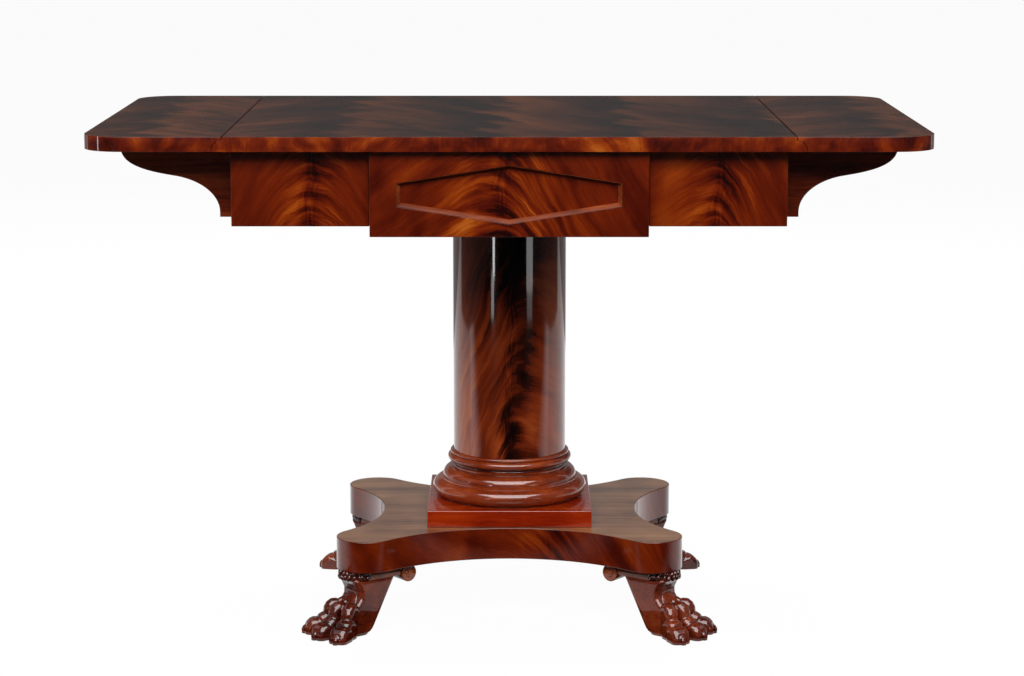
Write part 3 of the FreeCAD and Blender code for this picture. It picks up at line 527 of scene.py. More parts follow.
@dataclass(frozen=True)
class MetalFinish(Finish):
    """Dulled steel or iron with stains."""

    name: str
    tones: Tones
    rough: float = 0.35

    def build(self, sheet: NodeSheet) -> None:
        """Fill the sheet with stains and fine scratches.

        Args:
            sheet: the material's nodes.
        """
        place = sheet.place()
        stain = sheet.noise(place, 90.0, 4.0, 0.6)
        scratch = sheet.noise(sheet.scaled(place, (3000.0, 160.0, 160.0)), 1.0, 2.0)
        colour = sheet.ramp(stain * 0.8 + scratch * 0.2, self.tones)
        rough = self.rough + stain * 0.3
        self.surface(sheet, colour, rough, Polish(coat=0.0), scratch, 0.00005, 1.0)


STEEL = MetalFinish("hinge_steel", ((0.3, (0.12, 0.10, 0.085)), (0.6, (0.32, 0.30, 0.28))))
IRON = MetalFinish("dark_iron", ((0.3, (0.05, 0.036, 0.028)), (0.65, (0.19, 0.165, 0.15))), 0.45)
BARE = Polish(gloss=0.3, coat=0.0)
DULL = Polish(gloss=0.1, coat=0.2, coat_rough=0.18)
SOFT = Polish(coat_rough=0.12)
WORN = Polish(coat=0.85)
RUBBED = Polish(coat=0.45, coat_rough=0.12)
ALONG_X, ALONG_Y = (8.0, 210.0, 210.0), (210.0, 8.0, 210.0)
PINE_X = PlainFinish("pine_across", (7.0, 150.0, 150.0), PINE_TONES, BARE, 0.55)
PINE_Y = PlainFinish("pine_deep", (150.0, 7.0, 150.0), PINE_TONES, BARE, 0.55)
# Lightened tones: painted light for the brackets in the leaves' shade; the drawer rails share them.
MAHOGANY_X_PAINTED_LIGHT = PlainFinish("mahogany_across_painted_light", ALONG_X, BRACKET_PAINTED_LIGHT_TONES)
MAHOGANY_Y = PlainFinish("mahogany_deep", ALONG_Y, DARK_TONES)
UNDERSIDE = PlainFinish("mahogany_underside", (8.0, 190.0, 190.0), DARK_TONES, DULL, 0.4)
TURNED = PlainFinish("turned_mahogany", (30.0, 30.0, 190.0), TURNED_TONES, SOFT, 0.16, crease_shade_and_wear=0.55)
PLINTH = PlainFinish("plinth_mahogany", (7.0, 150.0, 150.0), RED_TONES)
PLATFORM_TOP = PlainFinish("platform_top_veneer", (5.0, 120.0, 120.0), BROWN_TONES, SOFT, 0.3)
CARVED = PlainFinish("carved_mahogany", (40.0, 40.0, 60.0), CARVED_TONES, WORN, crease_shade_and_wear=0.9)
BAND_PAINTED_LIGHT = PlainFinish("paw_band", (40.0, 40.0, 60.0), BAND_PAINTED_LIGHT_TONES, WORN)
LEAVES = PlainFinish("carved_leaves", (60.0, 60.0, 60.0), LEAF_TONES, Polish(coat_rough=0.07), 0.25,
                     crease_shade_and_wear=0.8)
MOULDING = PlainFinish("moulding_mahogany", ALONG_X, MOULDING_TONES, RUBBED, 0.35)
EDGE = EdgeFinish("edge_veneer")


class Bench:
    """Modelling steps done as by hand, on one object at a time."""

    @staticmethod
    def clear() -> None:
        """Select nothing."""
        bpy.ops.object.select_all(action="DESELECT")

    @staticmethod
    def pick(obj: Object) -> None:
        """Select one object and nothing else.

        Args:
            obj: the object.
        """
        Bench.clear()
        obj.select_set(True)
        bpy.context.view_layer.objects.active = obj

    @staticmethod
    @contextmanager
    def edit(obj: Object) -> Iterator[None]:
        """Work in edit mode with the whole mesh selected.

        Args:
            obj: the object.
        """
        Bench.pick(obj)
        bpy.ops.object.mode_set(mode="EDIT")
        bpy.ops.mesh.select_all(action="SELECT")
        yield
        bpy.ops.object.mode_set(mode="OBJECT")

    @staticmethod
    def named(name: str) -> Object:
        """Name the object that was just added.

        Args:
            name: its name.

        Returns:
            The object.
        """
        obj = bpy.context.object
        obj.name = obj.data.name = name
        return obj

    @staticmethod
    def finish(obj: Object, kind: str, **settings: Any) -> None:
        """Add a modifier and apply it.

        Args:
            obj: the object.
            kind: the modifier's type.
            settings: its properties.
        """
        Bench.pick(obj)
        modifier = obj.modifiers.new(kind.lower(), kind)
        for name, setting in settings.items():
            setattr(modifier, name, setting)
        bpy.ops.object.modifier_apply(modifier=modifier.name)

    @staticmethod
    def smooth(obj: Object, degrees: float = 38.0) -> None:
        """Shade smooth, with edges kept past an angle."""
        Bench.pick(obj)
        bpy.ops.object.shade_smooth_by_angle(angle=math.radians(degrees))

    @staticmethod
    def settle(obj: Object) -> None:
        """Put an object's place, turn and scale into its mesh."""
        Bench.pick(obj)
        bpy.ops.object.transform_apply(location=True, rotation=True, scale=True)

    @staticmethod
    def bevel(obj: Object, width: float, segments: int = 3, degrees: float = 60.0,
              clamp: bool = True) -> None:
        """Round the edges that are sharper than an angle.

        Args:
            obj: the object.
            width: how far they are rounded.
            segments: faces across a rounded edge.
            degrees: the angle.
            clamp: whether a rounding stops where it meets the next.
        """
        Bench.finish(obj, "BEVEL", width=width, segments=segments, limit_method="ANGLE",
                     angle_limit=math.radians(degrees), use_clamp_overlap=clamp)

    @staticmethod
    def trim(obj: Object, place: Triple, way: Triple) -> None:
        """Cut off what lies beyond a plane and close the cut."""
        with Bench.edit(obj):
            bpy.ops.mesh.bisect(plane_co=place, plane_no=way, use_fill=True, clear_outer=True)

    @staticmethod
    def copy_node(node: str, name: str) -> Object:
        """Copy a CAD node's mesh into a new object, merged into whole faces.

        Args:
            node: the CAD node.
            name: the new object's name.

        Returns:
            The new object.
        """
        obj = bpy.data.objects.new(name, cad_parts[node].data.copy())
        obj.data.name = name
        obj.data.materials.clear()
        bpy.context.scene.collection.objects.link(obj)
        with Bench.edit(obj):
            bpy.ops.mesh.remove_doubles(threshold=1e-5)
            bpy.ops.mesh.dissolve_limited(angle_limit=math.radians(1.0))
        return obj

    @staticmethod
    def ease(obj: Object, width: float) -> None:
        """Round the sharp edges of a copied board.

        Args:
            obj: the board.
            width: how far they are rounded.
        """
        Bench.bevel(obj, width, degrees=40.0)
        Bench.smooth(obj)
        Bench.finish(obj, "WEIGHTED_NORMAL", mode="FACE_AREA", weight=100, keep_sharp=True)

    @staticmethod
    def path(name: str, points: Sequence[Vector]) -> Object:
        """Draw a chain of edges by extruding one vertex from point to point.

        Args:
            name: the new object's name.
            points: the points in order.

        Returns:
            The new object.
        """
        Bench.clear()
        bpy.ops.mesh.primitive_plane_add(size=0.01)
        obj = Bench.named(name)
        with Bench.edit(obj):
            bpy.ops.mesh.merge(type="CENTER")
            bpy.ops.transform.translate(value=points[0])
            for here, there in pairwise(points):
                bpy.ops.mesh.extrude_region_move(TRANSFORM_OT_translate={"value": there - here})
        return obj

    @staticmethod
    def spun(name: str, profile: Sequence[Pair], steps: int) -> Object:
        """Turn a profile about the upright axis.

        Args:
            name: the new object's name.
            profile: points as (radius, height).
            steps: faces round the axis.

        Returns:
            The turned object.
        """
        obj = Bench.path(name, [Vector((radius, 0.0, height)) for radius, height in profile])
        with Bench.edit(obj):
            bpy.ops.mesh.spin(steps=steps, angle=2 * math.pi, center=(0, 0, 0), axis=(0, 0, 1))
            bpy.ops.mesh.select_all(action="SELECT")
            bpy.ops.mesh.remove_doubles(threshold=1e-6)
            bpy.ops.mesh.normals_make_consistent(inside=False)
        Bench.smooth(obj, 30.0)
        return obj

    @staticmethod
    def joined(name: str, parts: Sequence[Object]) -> Object:
        """Join objects into one mesh with its place applied.

        Args:
            name: the name of the whole.
            parts: the objects.

        Returns:
            The whole.
        """
        Bench.pick(parts[0])
        for part in parts:
            part.select_set(True)
        bpy.ops.object.join()
        obj = Bench.named(name)
        Bench.settle(obj)
        return obj


class Side(Enum):
    """Faces of a piece, by the way that they look."""

    TOP = (0, 0, 1)
    BOTTOM = (0, 0, -1)
    FRONT = (0, -1, 0)
    BACK = (0, 1, 0)
    ROUND = (0, 0, 0)

    def holds(self, normal: Vector) -> bool:
        """Tell whether a face belongs to the side.

        Args:
            normal: the way that the face looks.

        Returns:
            True where it does.
        """
        if self is Side.ROUND:
            return abs(normal.z) < UPRIGHT
        return normal.dot(Vector(self.value)) > FACING


@dataclass
class Assembly:
    """A part of the table whose pieces are modelled and dressed together."""

    pieces: list[Object] = field(default_factory=list)

    def own(self, piece: Object, body: str, slot: str, *nodes: str) -> None:
        """Put a finished piece on its body in place of CAD nodes.

        Args:
            piece: the new piece.
            body: the CAD body that it rides on.
            slot: not used.
            nodes: the CAD nodes that it stands for.
        """
        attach(piece, body)
        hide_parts(*nodes)
        self.pieces.append(piece)
        LOG.info("%s: %d faces on %s", piece.name, len(piece.data.polygons), body)

    @staticmethod
    def dress(piece: Object, main: Finish, faces: dict[Side, Finish] | None = None) -> None:
        """Give a piece its finish, and some of its faces another.

        Args:
            piece: the piece.
            main: the finish of all faces not named.
            faces: finishes by the way that faces look.
        """
        piece.data.materials.clear()
        piece.data.materials.append(main.material())
        for number, (side, finish) in enumerate((faces or {}).items(), 1):
            piece.data.materials.append(finish.material())
            for face in piece.data.polygons:
                if side.holds(face.normal):
                    face.material_index = number

    @staticmethod
    def dress_nodes(finish: Finish, *nodes: str) -> None:
        """Give CAD nodes that stay a finish.

        Args:
            finish: the finish.
            nodes: the CAD nodes.
        """
        for node in nodes:
            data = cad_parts[node].data
            data.materials.clear()
            data.materials.append(finish.material())

    def eased(self, node: str, body: str, slot: str, main: Finish,
              faces: dict[Side, Finish] | None = None, width: float = 0.0012,
              shape: Callable[[Object], None] | None = None) -> None:
        """Stand an eased and polished copy in a CAD node's place.

        Args:
            node: the CAD node.
            body: the CAD body that the copy rides on.
            slot: not used; only handed on to own.
            main: the finish of all faces not named.
            faces: finishes by the way that faces look.
            width: how far the edges are eased.
            shape: finer shaping that is done before the edges are eased.
        """
        piece = Bench.copy_node(node, node + "_polished")
        if shape:
            shape(piece)
        Bench.ease(piece, width)
        self.dress(piece, main, faces)
        self.own(piece, body, slot, node)


@dataclass
class PanelMoulding:
    """Mitred moulding that falls in a hollow from the face of a block to its sunk panel."""

    half_width: float = 0.1593
    half_height: float = 0.0415
    side_half: float = 0.0164
    centre: float = 0.6768
    face: float = 0.3235
    proud: float = 0.0008
    lip: float = 0.0003
    sink: float = 0.005
    deeper: float = 0.004
    steep: float = 76.0
    shallow: float = 50.0
    steps: int = 6
    thick: float = 0.0006
    gap: float = 0.0002
    slack: float = 0.0005
    margin: float = 0.002

    def deepen(self, block: Object) -> None:
        """Let the sunk panel of a block a little further in.

        Args:
            block: the block.
        """
        floor, reach = self.face - self.sink, self.half_width + self.margin
        for vertex in block.data.vertices:
            if abs(abs(vertex.co.y) - floor) < self.slack and abs(vertex.co.x) <= reach:
                vertex.co.y -= math.copysign(self.deeper, vertex.co.y)

    def build(self, name: str, turn: float) -> Object:
        """Draw the panel's outline, step inwards along the hollow and close the back.

        Args:
            name: the new piece's name.
            turn: 0 for the front of the table, 180 for the back.

        Returns:
            The dressed moulding.
        """
        wide, side, tall = self.half_width, self.side_half, self.half_height
        corners = [(wide, side), (0.0, tall), (-wide, side),
                   (-wide, -side), (0.0, -tall), (wide, -side)]
        front = -self.face - self.proud
        moulding = Bench.path(name, [Vector((x, front, self.centre + z)) for x, z in corners])
        slopes = [math.radians(self.steep + (self.shallow - self.steep) * i / (self.steps - 1))
                  for i in range(self.steps)]
        fall = self.sink + self.deeper + self.proud - self.gap
        length = fall / sum(math.sin(slope) for slope in slopes)
        with Bench.edit(moulding):
            bpy.ops.mesh.edge_face_add()
            bpy.ops.mesh.normals_make_consistent(inside=False)
            bpy.ops.mesh.inset(thickness=self.lip, depth=0.0)
            for slope in slopes:
                bpy.ops.mesh.inset(thickness=length * math.cos(slope), depth=0.0)
                bpy.ops.transform.translate(value=(0.0, length * math.sin(slope), 0.0))
            bpy.ops.mesh.delete(type="FACE")
            bpy.ops.mesh.select_all(action="SELECT")
            bpy.ops.mesh.normals_make_consistent(inside=False)
        Bench.finish(moulding, "SOLIDIFY", thickness=self.thick, offset=-1.0)
        Bench.smooth(moulding, 30.0)
        moulding.rotation_euler.z = math.radians(turn)
        Bench.settle(moulding)
        # The upper strips face down and take the dark underside finish: painted shade, where the
        # lip above shades them.
        Assembly.dress(moulding, MOULDING, {Side.BOTTOM: UNDERSIDE})
        return moulding


@dataclass
class Top(Assembly):
    """Fixed top, two leaves and their hinges."""

    edge_ease: float = 0.0007

    def build(self) -> None:
        """Ease and polish the three boards and dress the hinges."""
        broad = FlameFinish(
            "top_figure", (-0.255, 0.05, 0.76), (1, 0, 0), (0, 1, 0), arch=1.3, bend=0.05,
            reach=0.03, bands=16.0, band_depth=0.6, streaks=60.0, streak_depth=0.45, spread=0.2,
            calm=0.6, heart=0.0, tongues=11.0, feather=0.22, slivers=0.0, patch_scale=5.0,
            slip=0.21, slip_depth=0.42, joint=0.403, tones=TOP_TONES)
        left = replace(broad, name="left_leaf_figure", origin=(-0.53, 0.22, 0.76), lift=0.06)
        right = replace(broad, name="right_leaf_figure", origin=(0.535, 0.15, 0.76), lift=0.03)
        figures = {"top_panel": broad, "left_leaf": left, "right_leaf": right}
        for node, figure in figures.items():
            body = "frame" if node == "top_panel" else node
            faces = {Side.TOP: figure, Side.BOTTOM: UNDERSIDE}
            self.eased(node, body, "flame_veneer", EDGE, faces, self.edge_ease)
        for side in SIDES:
            for kind in ("_hinge_fixed_plates", "_hinge_leaf_plates", "_hinge_pins"):
                self.dress_nodes(STEEL, side + kind)
            self.dress_nodes(IRON, side + "_leaf_hinge_screws")
        self.dress_nodes(IRON, "fixed_hinge_screws")


@dataclass
class Frieze(Assembly):
    """Frieze panels, rails, runners and the dummy front at the back."""

    ease: float = 0.001

    def build(self) -> None:
        """Ease and polish the show wood and dress what is inside."""
        left = FlameFinish(
            "left_frieze_figure", (-0.278, -0.31, 0.693), arch=2.2, bend=0.08, lift=-0.03,
            patches=0.45,
            clouds=(Cloud(-0.035, -0.02, (0.03, 0.05), 0.1), Cloud(-0.1, 0.0, (0.03, 0.2), -0.05)))
        right = FlameFinish(
            "right_frieze_figure", (0.3015, -0.31, 0.684), arch=1.2, skew=0.6, bend=0.015,
            heart_width=0.02,
            clouds=(Cloud(-0.065, 0.0, (0.032, 0.2), 0.14), Cloud(0.08, 0.0, (0.03, 0.2), -0.05)))
        back = FlameFinish("back_frieze_figure", (0.1, 0.31, 0.69), repeat=0.26, arch=1.6,
                           bend=0.05, reach=0.02, heart_width=0.016)
        block = FlameFinish("back_block_figure", (0.02, 0.32, 0.69), arch=1.5, bend=0.03,
                            spread=0.09)
        moulding = PanelMoulding()
        for node, side, figure, shape in (
                ("front_frieze_left", Side.FRONT, left, None),
                ("front_frieze_right", Side.FRONT, right, None),
                ("back_frieze", Side.BACK, back, None),
                ("back_block", Side.BACK, block, moulding.deepen)):
            self.eased(node, "frame", "flame_veneer", UNDERSIDE, {side: figure}, self.ease, shape)
        self.own(moulding.build("back_panel_moulding", 180.0), "frame", "solid_mahogany",
                 "back_block_moulding")
        for side in SIDES:
            self.eased(side + "_end_rail", "frame", "secondary_wood", MAHOGANY_Y, None, self.ease)
            self.eased(side + "_fly_filler", "frame", "solid_mahogany", MAHOGANY_Y, None, self.ease)
            self.dress_nodes(PINE_Y, side + "_drawer_runner", side + "_drawer_kicker")
        self.dress_nodes(MAHOGANY_X_PAINTED_LIGHT, "drawer_lower_rail", "drawer_upper_rail")
        self.dress_nodes(PINE_X, "pedestal_bearer")
        self.dress_nodes(IRON, "bearer_screws")


@dataclass
class FlySupports(Assembly):
    """Swinging brackets under the leaves, their blocks and pins."""

    ease: float = 0.0016
    heel: Pair = (0.416, 0.643)
    heel_pull: Pair = (0.416, 0.670)
    waist_low: Pair = (0.446, 0.6905)
    waist: Pair = (0.482, 0.6958)
    waist_high: Pair = (0.524, 0.7025)
    nose_pull: Pair = (0.557, 0.712)
    nose: Pair = (0.557, 0.7367)
    count: int = 24
    block_ease: float = 0.0008
    slack: float = 1e-5

    def build(self) -> None:
        """Ease and polish the brackets and blocks and dress the pins."""
        for corner in CORNERS:
            self.eased(corner + "_fly_bracket", corner + "_bracket", "solid_mahogany", MAHOGANY_X_PAINTED_LIGHT,
                       width=self.ease, shape=self.sweep)
            self.eased(corner + "_fly_block", "frame", "solid_mahogany", MAHOGANY_Y,
                       width=self.block_ease)
            self.dress_nodes(STEEL, corner + "_fly_pin")

    def sweep(self, bracket: Object) -> None:
        """Draw the lower edge of a swung-out bracket in one long S.

        Args:
            bracket: the bracket.
        """
        low = (self.heel, self.heel_pull, self.waist_low, self.waist)
        high = (self.waist, self.waist_high, self.nose_pull, self.nose)
        line = [*interpolate_bezier(*low, self.count), *interpolate_bezier(*high, self.count)[1:]]
        side = math.copysign(1.0, sum(vertex.co.x for vertex in bracket.data.vertices))
        with Bench.edit(bracket):
            for point in line[1:-1]:
                bpy.ops.mesh.select_all(action="SELECT")
                bpy.ops.mesh.bisect(plane_co=(side * point.x, 0, 0), plane_no=(1, 0, 0))
        for vertex in bracket.data.vertices:
            reach = abs(vertex.co.x)
            if reach > self.heel[0] + self.slack and vertex.co.z < self.nose[1] - self.slack:
                spans = (span for span in pairwise(line) if span[0].x <= reach <= span[1].x)
                here, there = next(spans, (line[-2], line[-1]))
                share = (reach - here.x) / max(there.x - here.x, 1e-9)
                vertex.co.z = here.y + (there.y - here.y) * min(share, 1.0)


@dataclass
class Drawer(Assembly):
    """Drawer with its sunk panel and mitred moulding."""

    ease: float = 0.001

    def build(self) -> None:
        """Ease and polish the front and its moulding and dress the box."""
        figure = FlameFinish(
            "drawer_figure", (-0.005, -0.32, 0.72), arch=1.3, skew=0.5, bend=0.04, spread=0.085,
            heart=0.16, heart_width=0.014, lift=-0.05,
            clouds=(Cloud(-0.062, 0.0, (0.022, 0.2), 0.17), Cloud(0.045, -0.03, (0.04, 0.08), 0.08),
                    Cloud(-0.025, 0.0, (0.014, 0.2), -0.06)))
        moulding = PanelMoulding()
        self.eased("drawer_front", "drawer", "flame_veneer", UNDERSIDE, {Side.FRONT: figure},
                   self.ease, moulding.deepen)
        self.own(moulding.build("drawer_panel_moulding", 0.0), "drawer", "solid_mahogany",
                 "drawer_front_moulding")
        self.dress_nodes(PINE_Y, "drawer_left_side", "drawer_right_side")
        self.dress_nodes(PINE_X, "drawer_back", "drawer_bottom")


@dataclass(frozen=True)
class Swell:
    """Half-round swelling or hollow of a turned profile."""

    foot: float
    head: float
    inner: float
    outer: float
    count: int = 20

    def points(self) -> list[Pair]:
        """Step round the swelling from its foot to its head.

        Returns:
            Points as (radius, height).
        """
        middle, half = (self.foot + self.head) / 2, (self.head - self.foot) / 2
        swell = self.outer - self.inner
        turns = [math.pi * i / self.count for i in range(self.count + 1)]
        return [(self.inner + swell * math.sin(t), middle - half * math.cos(t)) for t in turns]


@dataclass
class Pedestal(Assembly):
    """Turned column, ring and base on the plinth and the lobed platform."""

    steps: int = 160
    tenon_radius: float = 0.030
    spigot_radius: float = 0.026
    shaft_foot: float = 0.242
    shaft_head: float = 0.630
    shaft_ease: float = 0.0008
    neck_radius: float = 0.0888
    ring_foot: float = 0.219
    hollow: Swell = Swell(0.2195, 0.2252, 0.0888, 0.0855, 10)
    bead: Swell = Swell(0.2253, 0.2372, 0.0894, 0.0955)
    lip: Swell = Swell(0.2375, 0.242, 0.0902, 0.0916, 8)
    base_foot: float = 0.171
    torus: Swell = Swell(0.1726, 0.1985, 0.1048, 0.1185, 28)
    first_fillet: Pair = (0.1064, 0.2008)
    second_fillet: Pair = (0.1039, 0.2028)
    cushion_foot: float = 0.103
    cushion_head: Pair = (0.0892, 0.2164)
    cushion_steps: int = 14
    base_neck: float = 0.0882
    plinth_ease: float = 0.0015

    def build(self) -> None:
        """Turn the column's three pieces and ease the plinth and platform."""
        figure = FlameFinish(
            "column_figure", (0.0, 0.0, 0.30), wrap=Wrap.ROUND, arch=1.7, skew=-1.1, bend=0.022,
            reach=0.022, bands=32.0, band_depth=1.1, streak_depth=0.26, spread=0.045, calm=0.3,
            heart=0.16, heart_width=0.012, feather=0.06, patches=0.7, lift=0.02, tones=COLUMN_TONES,
            clouds=(
                Cloud(0.012, 0.26, (0.034, 0.12), -0.36), Cloud(0.004, -0.03, (0.016, 0.045), -0.3),
                Cloud(0.025, 0.09, (0.011, 0.06), -0.28), Cloud(-0.004, 0.10, (0.014, 0.06), 0.14),
                Cloud(0.034, -0.016, (0.013, 0.03), 0.18),
                Cloud(-0.022, -0.028, (0.014, 0.03), 0.2),
                # These two lighten the column's lower sides, about 53 degrees either way of the
                # front: painted light for the pale sheen there.
                Cloud(-0.08, 0.0, (0.03, 0.3), 0.26), Cloud(0.08, 0.0, (0.03, 0.3), 0.2)))
        for name, profile, finish, slot in (
                ("column_shaft", self.shaft_profile(), figure, "flame_veneer"),
                ("column_ring", self.ring_profile(), TURNED, "solid_mahogany"),
                ("column_base", self.base_profile(), TURNED, "solid_mahogany")):
            piece = Bench.spun(name + "_turned", profile, self.steps)
            self.dress(piece, finish)
            self.own(piece, "frame", slot, name)
        self.eased("plinth_block", "frame", "flame_veneer", PLINTH, width=self.plinth_ease)
        sides = FlameFinish(
            "platform_sides", (0.03, 0.0, 0.135), (1, 0.25, 0), arch=0.7, skew=1.2, bend=0.03,
            bands=44.0, band_depth=1.2, streak_depth=0.3, spread=0.06, calm=0.3, heart=0.14,
            heart_width=0.02, slivers=0.4, patches=0.8, lift=-0.04)
        faces = {Side.ROUND: sides, Side.TOP: PLATFORM_TOP}
        self.eased("platform", "frame", "flame_veneer", UNDERSIDE, faces)
        self.dress_nodes(MAHOGANY_Y, "foot_pegs")

    def shaft_profile(self) -> list[Pair]:
        """Draw the shaft with its tenon below and its spigot above.

        Returns:
            Points as (radius, height).
        """
        low, high = (corner.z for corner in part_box("column_shaft"))
        return [(0.0, low), (self.tenon_radius, low), (self.tenon_radius, self.shaft_foot),
                (SHAFT_RADIUS - self.shaft_ease, self.shaft_foot),
                (SHAFT_RADIUS, self.shaft_foot + self.shaft_ease), (SHAFT_RADIUS, self.shaft_head),
                (self.spigot_radius, self.shaft_head), (self.spigot_radius, high), (0.0, high)]

    def ring_profile(self) -> list[Pair]:
        """Draw a bead over a dark hollow, with a small lip round the column's foot.

        Returns:
            Points as (radius, height).
        """
        return [(self.tenon_radius, self.ring_foot), (self.neck_radius, self.ring_foot),
                *self.hollow.points(), *self.bead.points(), *self.lip.points(),
                (self.tenon_radius, self.shaft_foot), (self.tenon_radius, self.ring_foot)]

    def base_profile(self) -> list[Pair]:
        """Draw a torus on a small foot, two fillets and a cushion that runs up under the ring.

        Returns:
            Points as (radius, height).
        """
        (first, first_head), (second, second_head) = self.first_fillet, self.second_fillet
        top, head = self.cushion_head
        turns = [math.pi / 2 * i / self.cushion_steps for i in range(self.cushion_steps + 1)]
        cushion = [(top + (self.cushion_foot - top) * math.cos(turn),
                    second_head + (head - second_head) * math.sin(turn)) for turn in turns]
        return [(self.tenon_radius, self.base_foot), (self.torus.inner, self.base_foot),
                *self.torus.points(), (first, self.torus.head), (first, first_head),
                (second, first_head), (second, second_head), *cushion, (self.base_neck, head),
                (self.base_neck, self.ring_foot), (self.tenon_radius, self.ring_foot),
                (self.tenon_radius, self.base_foot)]


@dataclass(frozen=True)
class Block:
    """A block of a paw, sawn to its side outline, in millimetres."""

    outline: tuple[Pair, ...]
    half: float
    rounding: float
    swing: float = 1.0

    def cut(self, turn: float = 0.0, root: float = 0.0) -> Object:
        """Saw the block and round its edges.

        Args:
            turn: the toe's angle in plan, in degrees.
            root: where the turn is centred, in metres.

        Returns:
            The block, with its turn still on the object.
        """
        side = [Vector((s * MM, -self.half * MM, z * MM)) for s, z in self.outline]
        block = Bench.path("paw_block", side)
        across = (0.0, 2 * MM * self.half, 0.0)
        with Bench.edit(block):
            bpy.ops.mesh.edge_face_add()
            bpy.ops.mesh.extrude_region_move(TRANSFORM_OT_translate={"value": across})
            bpy.ops.mesh.select_all(action="SELECT")
            bpy.ops.mesh.normals_make_consistent(inside=False)
        Bench.bevel(block, self.rounding * MM, 5, clamp=False)
        block.rotation_euler.z = math.radians(turn * self.swing)
        block.location.x = root
        return block


PAD = Block(((58, -16), (87, -16), (90.5, 3), (90, 9), (87, 16), (82, 21), (76, 23.5), (70, 23),
             (64, 20), (58, 16)), 14.6, 8.4)
JOINT = Block(((40, -16), (71, -16), (73, 10), (72.5, 20), (69, 27), (63, 30.5), (56, 30.5),
               (48, 27), (40, 22)), 12.8, 9.0)
KNUCKLE = Block(((22, 28), (32, 20), (52, 18), (59, 22), (62, 30), (61, 39), (57, 46), (50, 51),
                 (42, 51.5), (33, 48), (24, 42)), 10.4, 8.6)
TENDON = Block(((4, 30), (42, 30), (45, 45), (40, 52), (30, 56.5), (20, 62), (10, 67), (4, 67)),
               5.6, 4.4, 0.72)
CLAW = Block(((80, -16), (92.5, -16), (94.5, 2), (94.5, 7), (92, 11.5), (87, 14), (80, 14)),
             3.8, 2.2)
TOE = (PAD, JOINT, KNUCKLE, TENDON, CLAW)
LEG = Block(((40, 86), (32, 76), (27, 66), (27.5, 57), (34, 48), (41, 39), (42, -14), (18, -14),
             (17, 0), (11, 2.5), (6, 7), (3, 12), (-37, 86)), 26.0, 6.5)
SLAB = Block(((-56, 97), (14, 97), (14, 82), (-56, 82)), 27.0, 1.6)


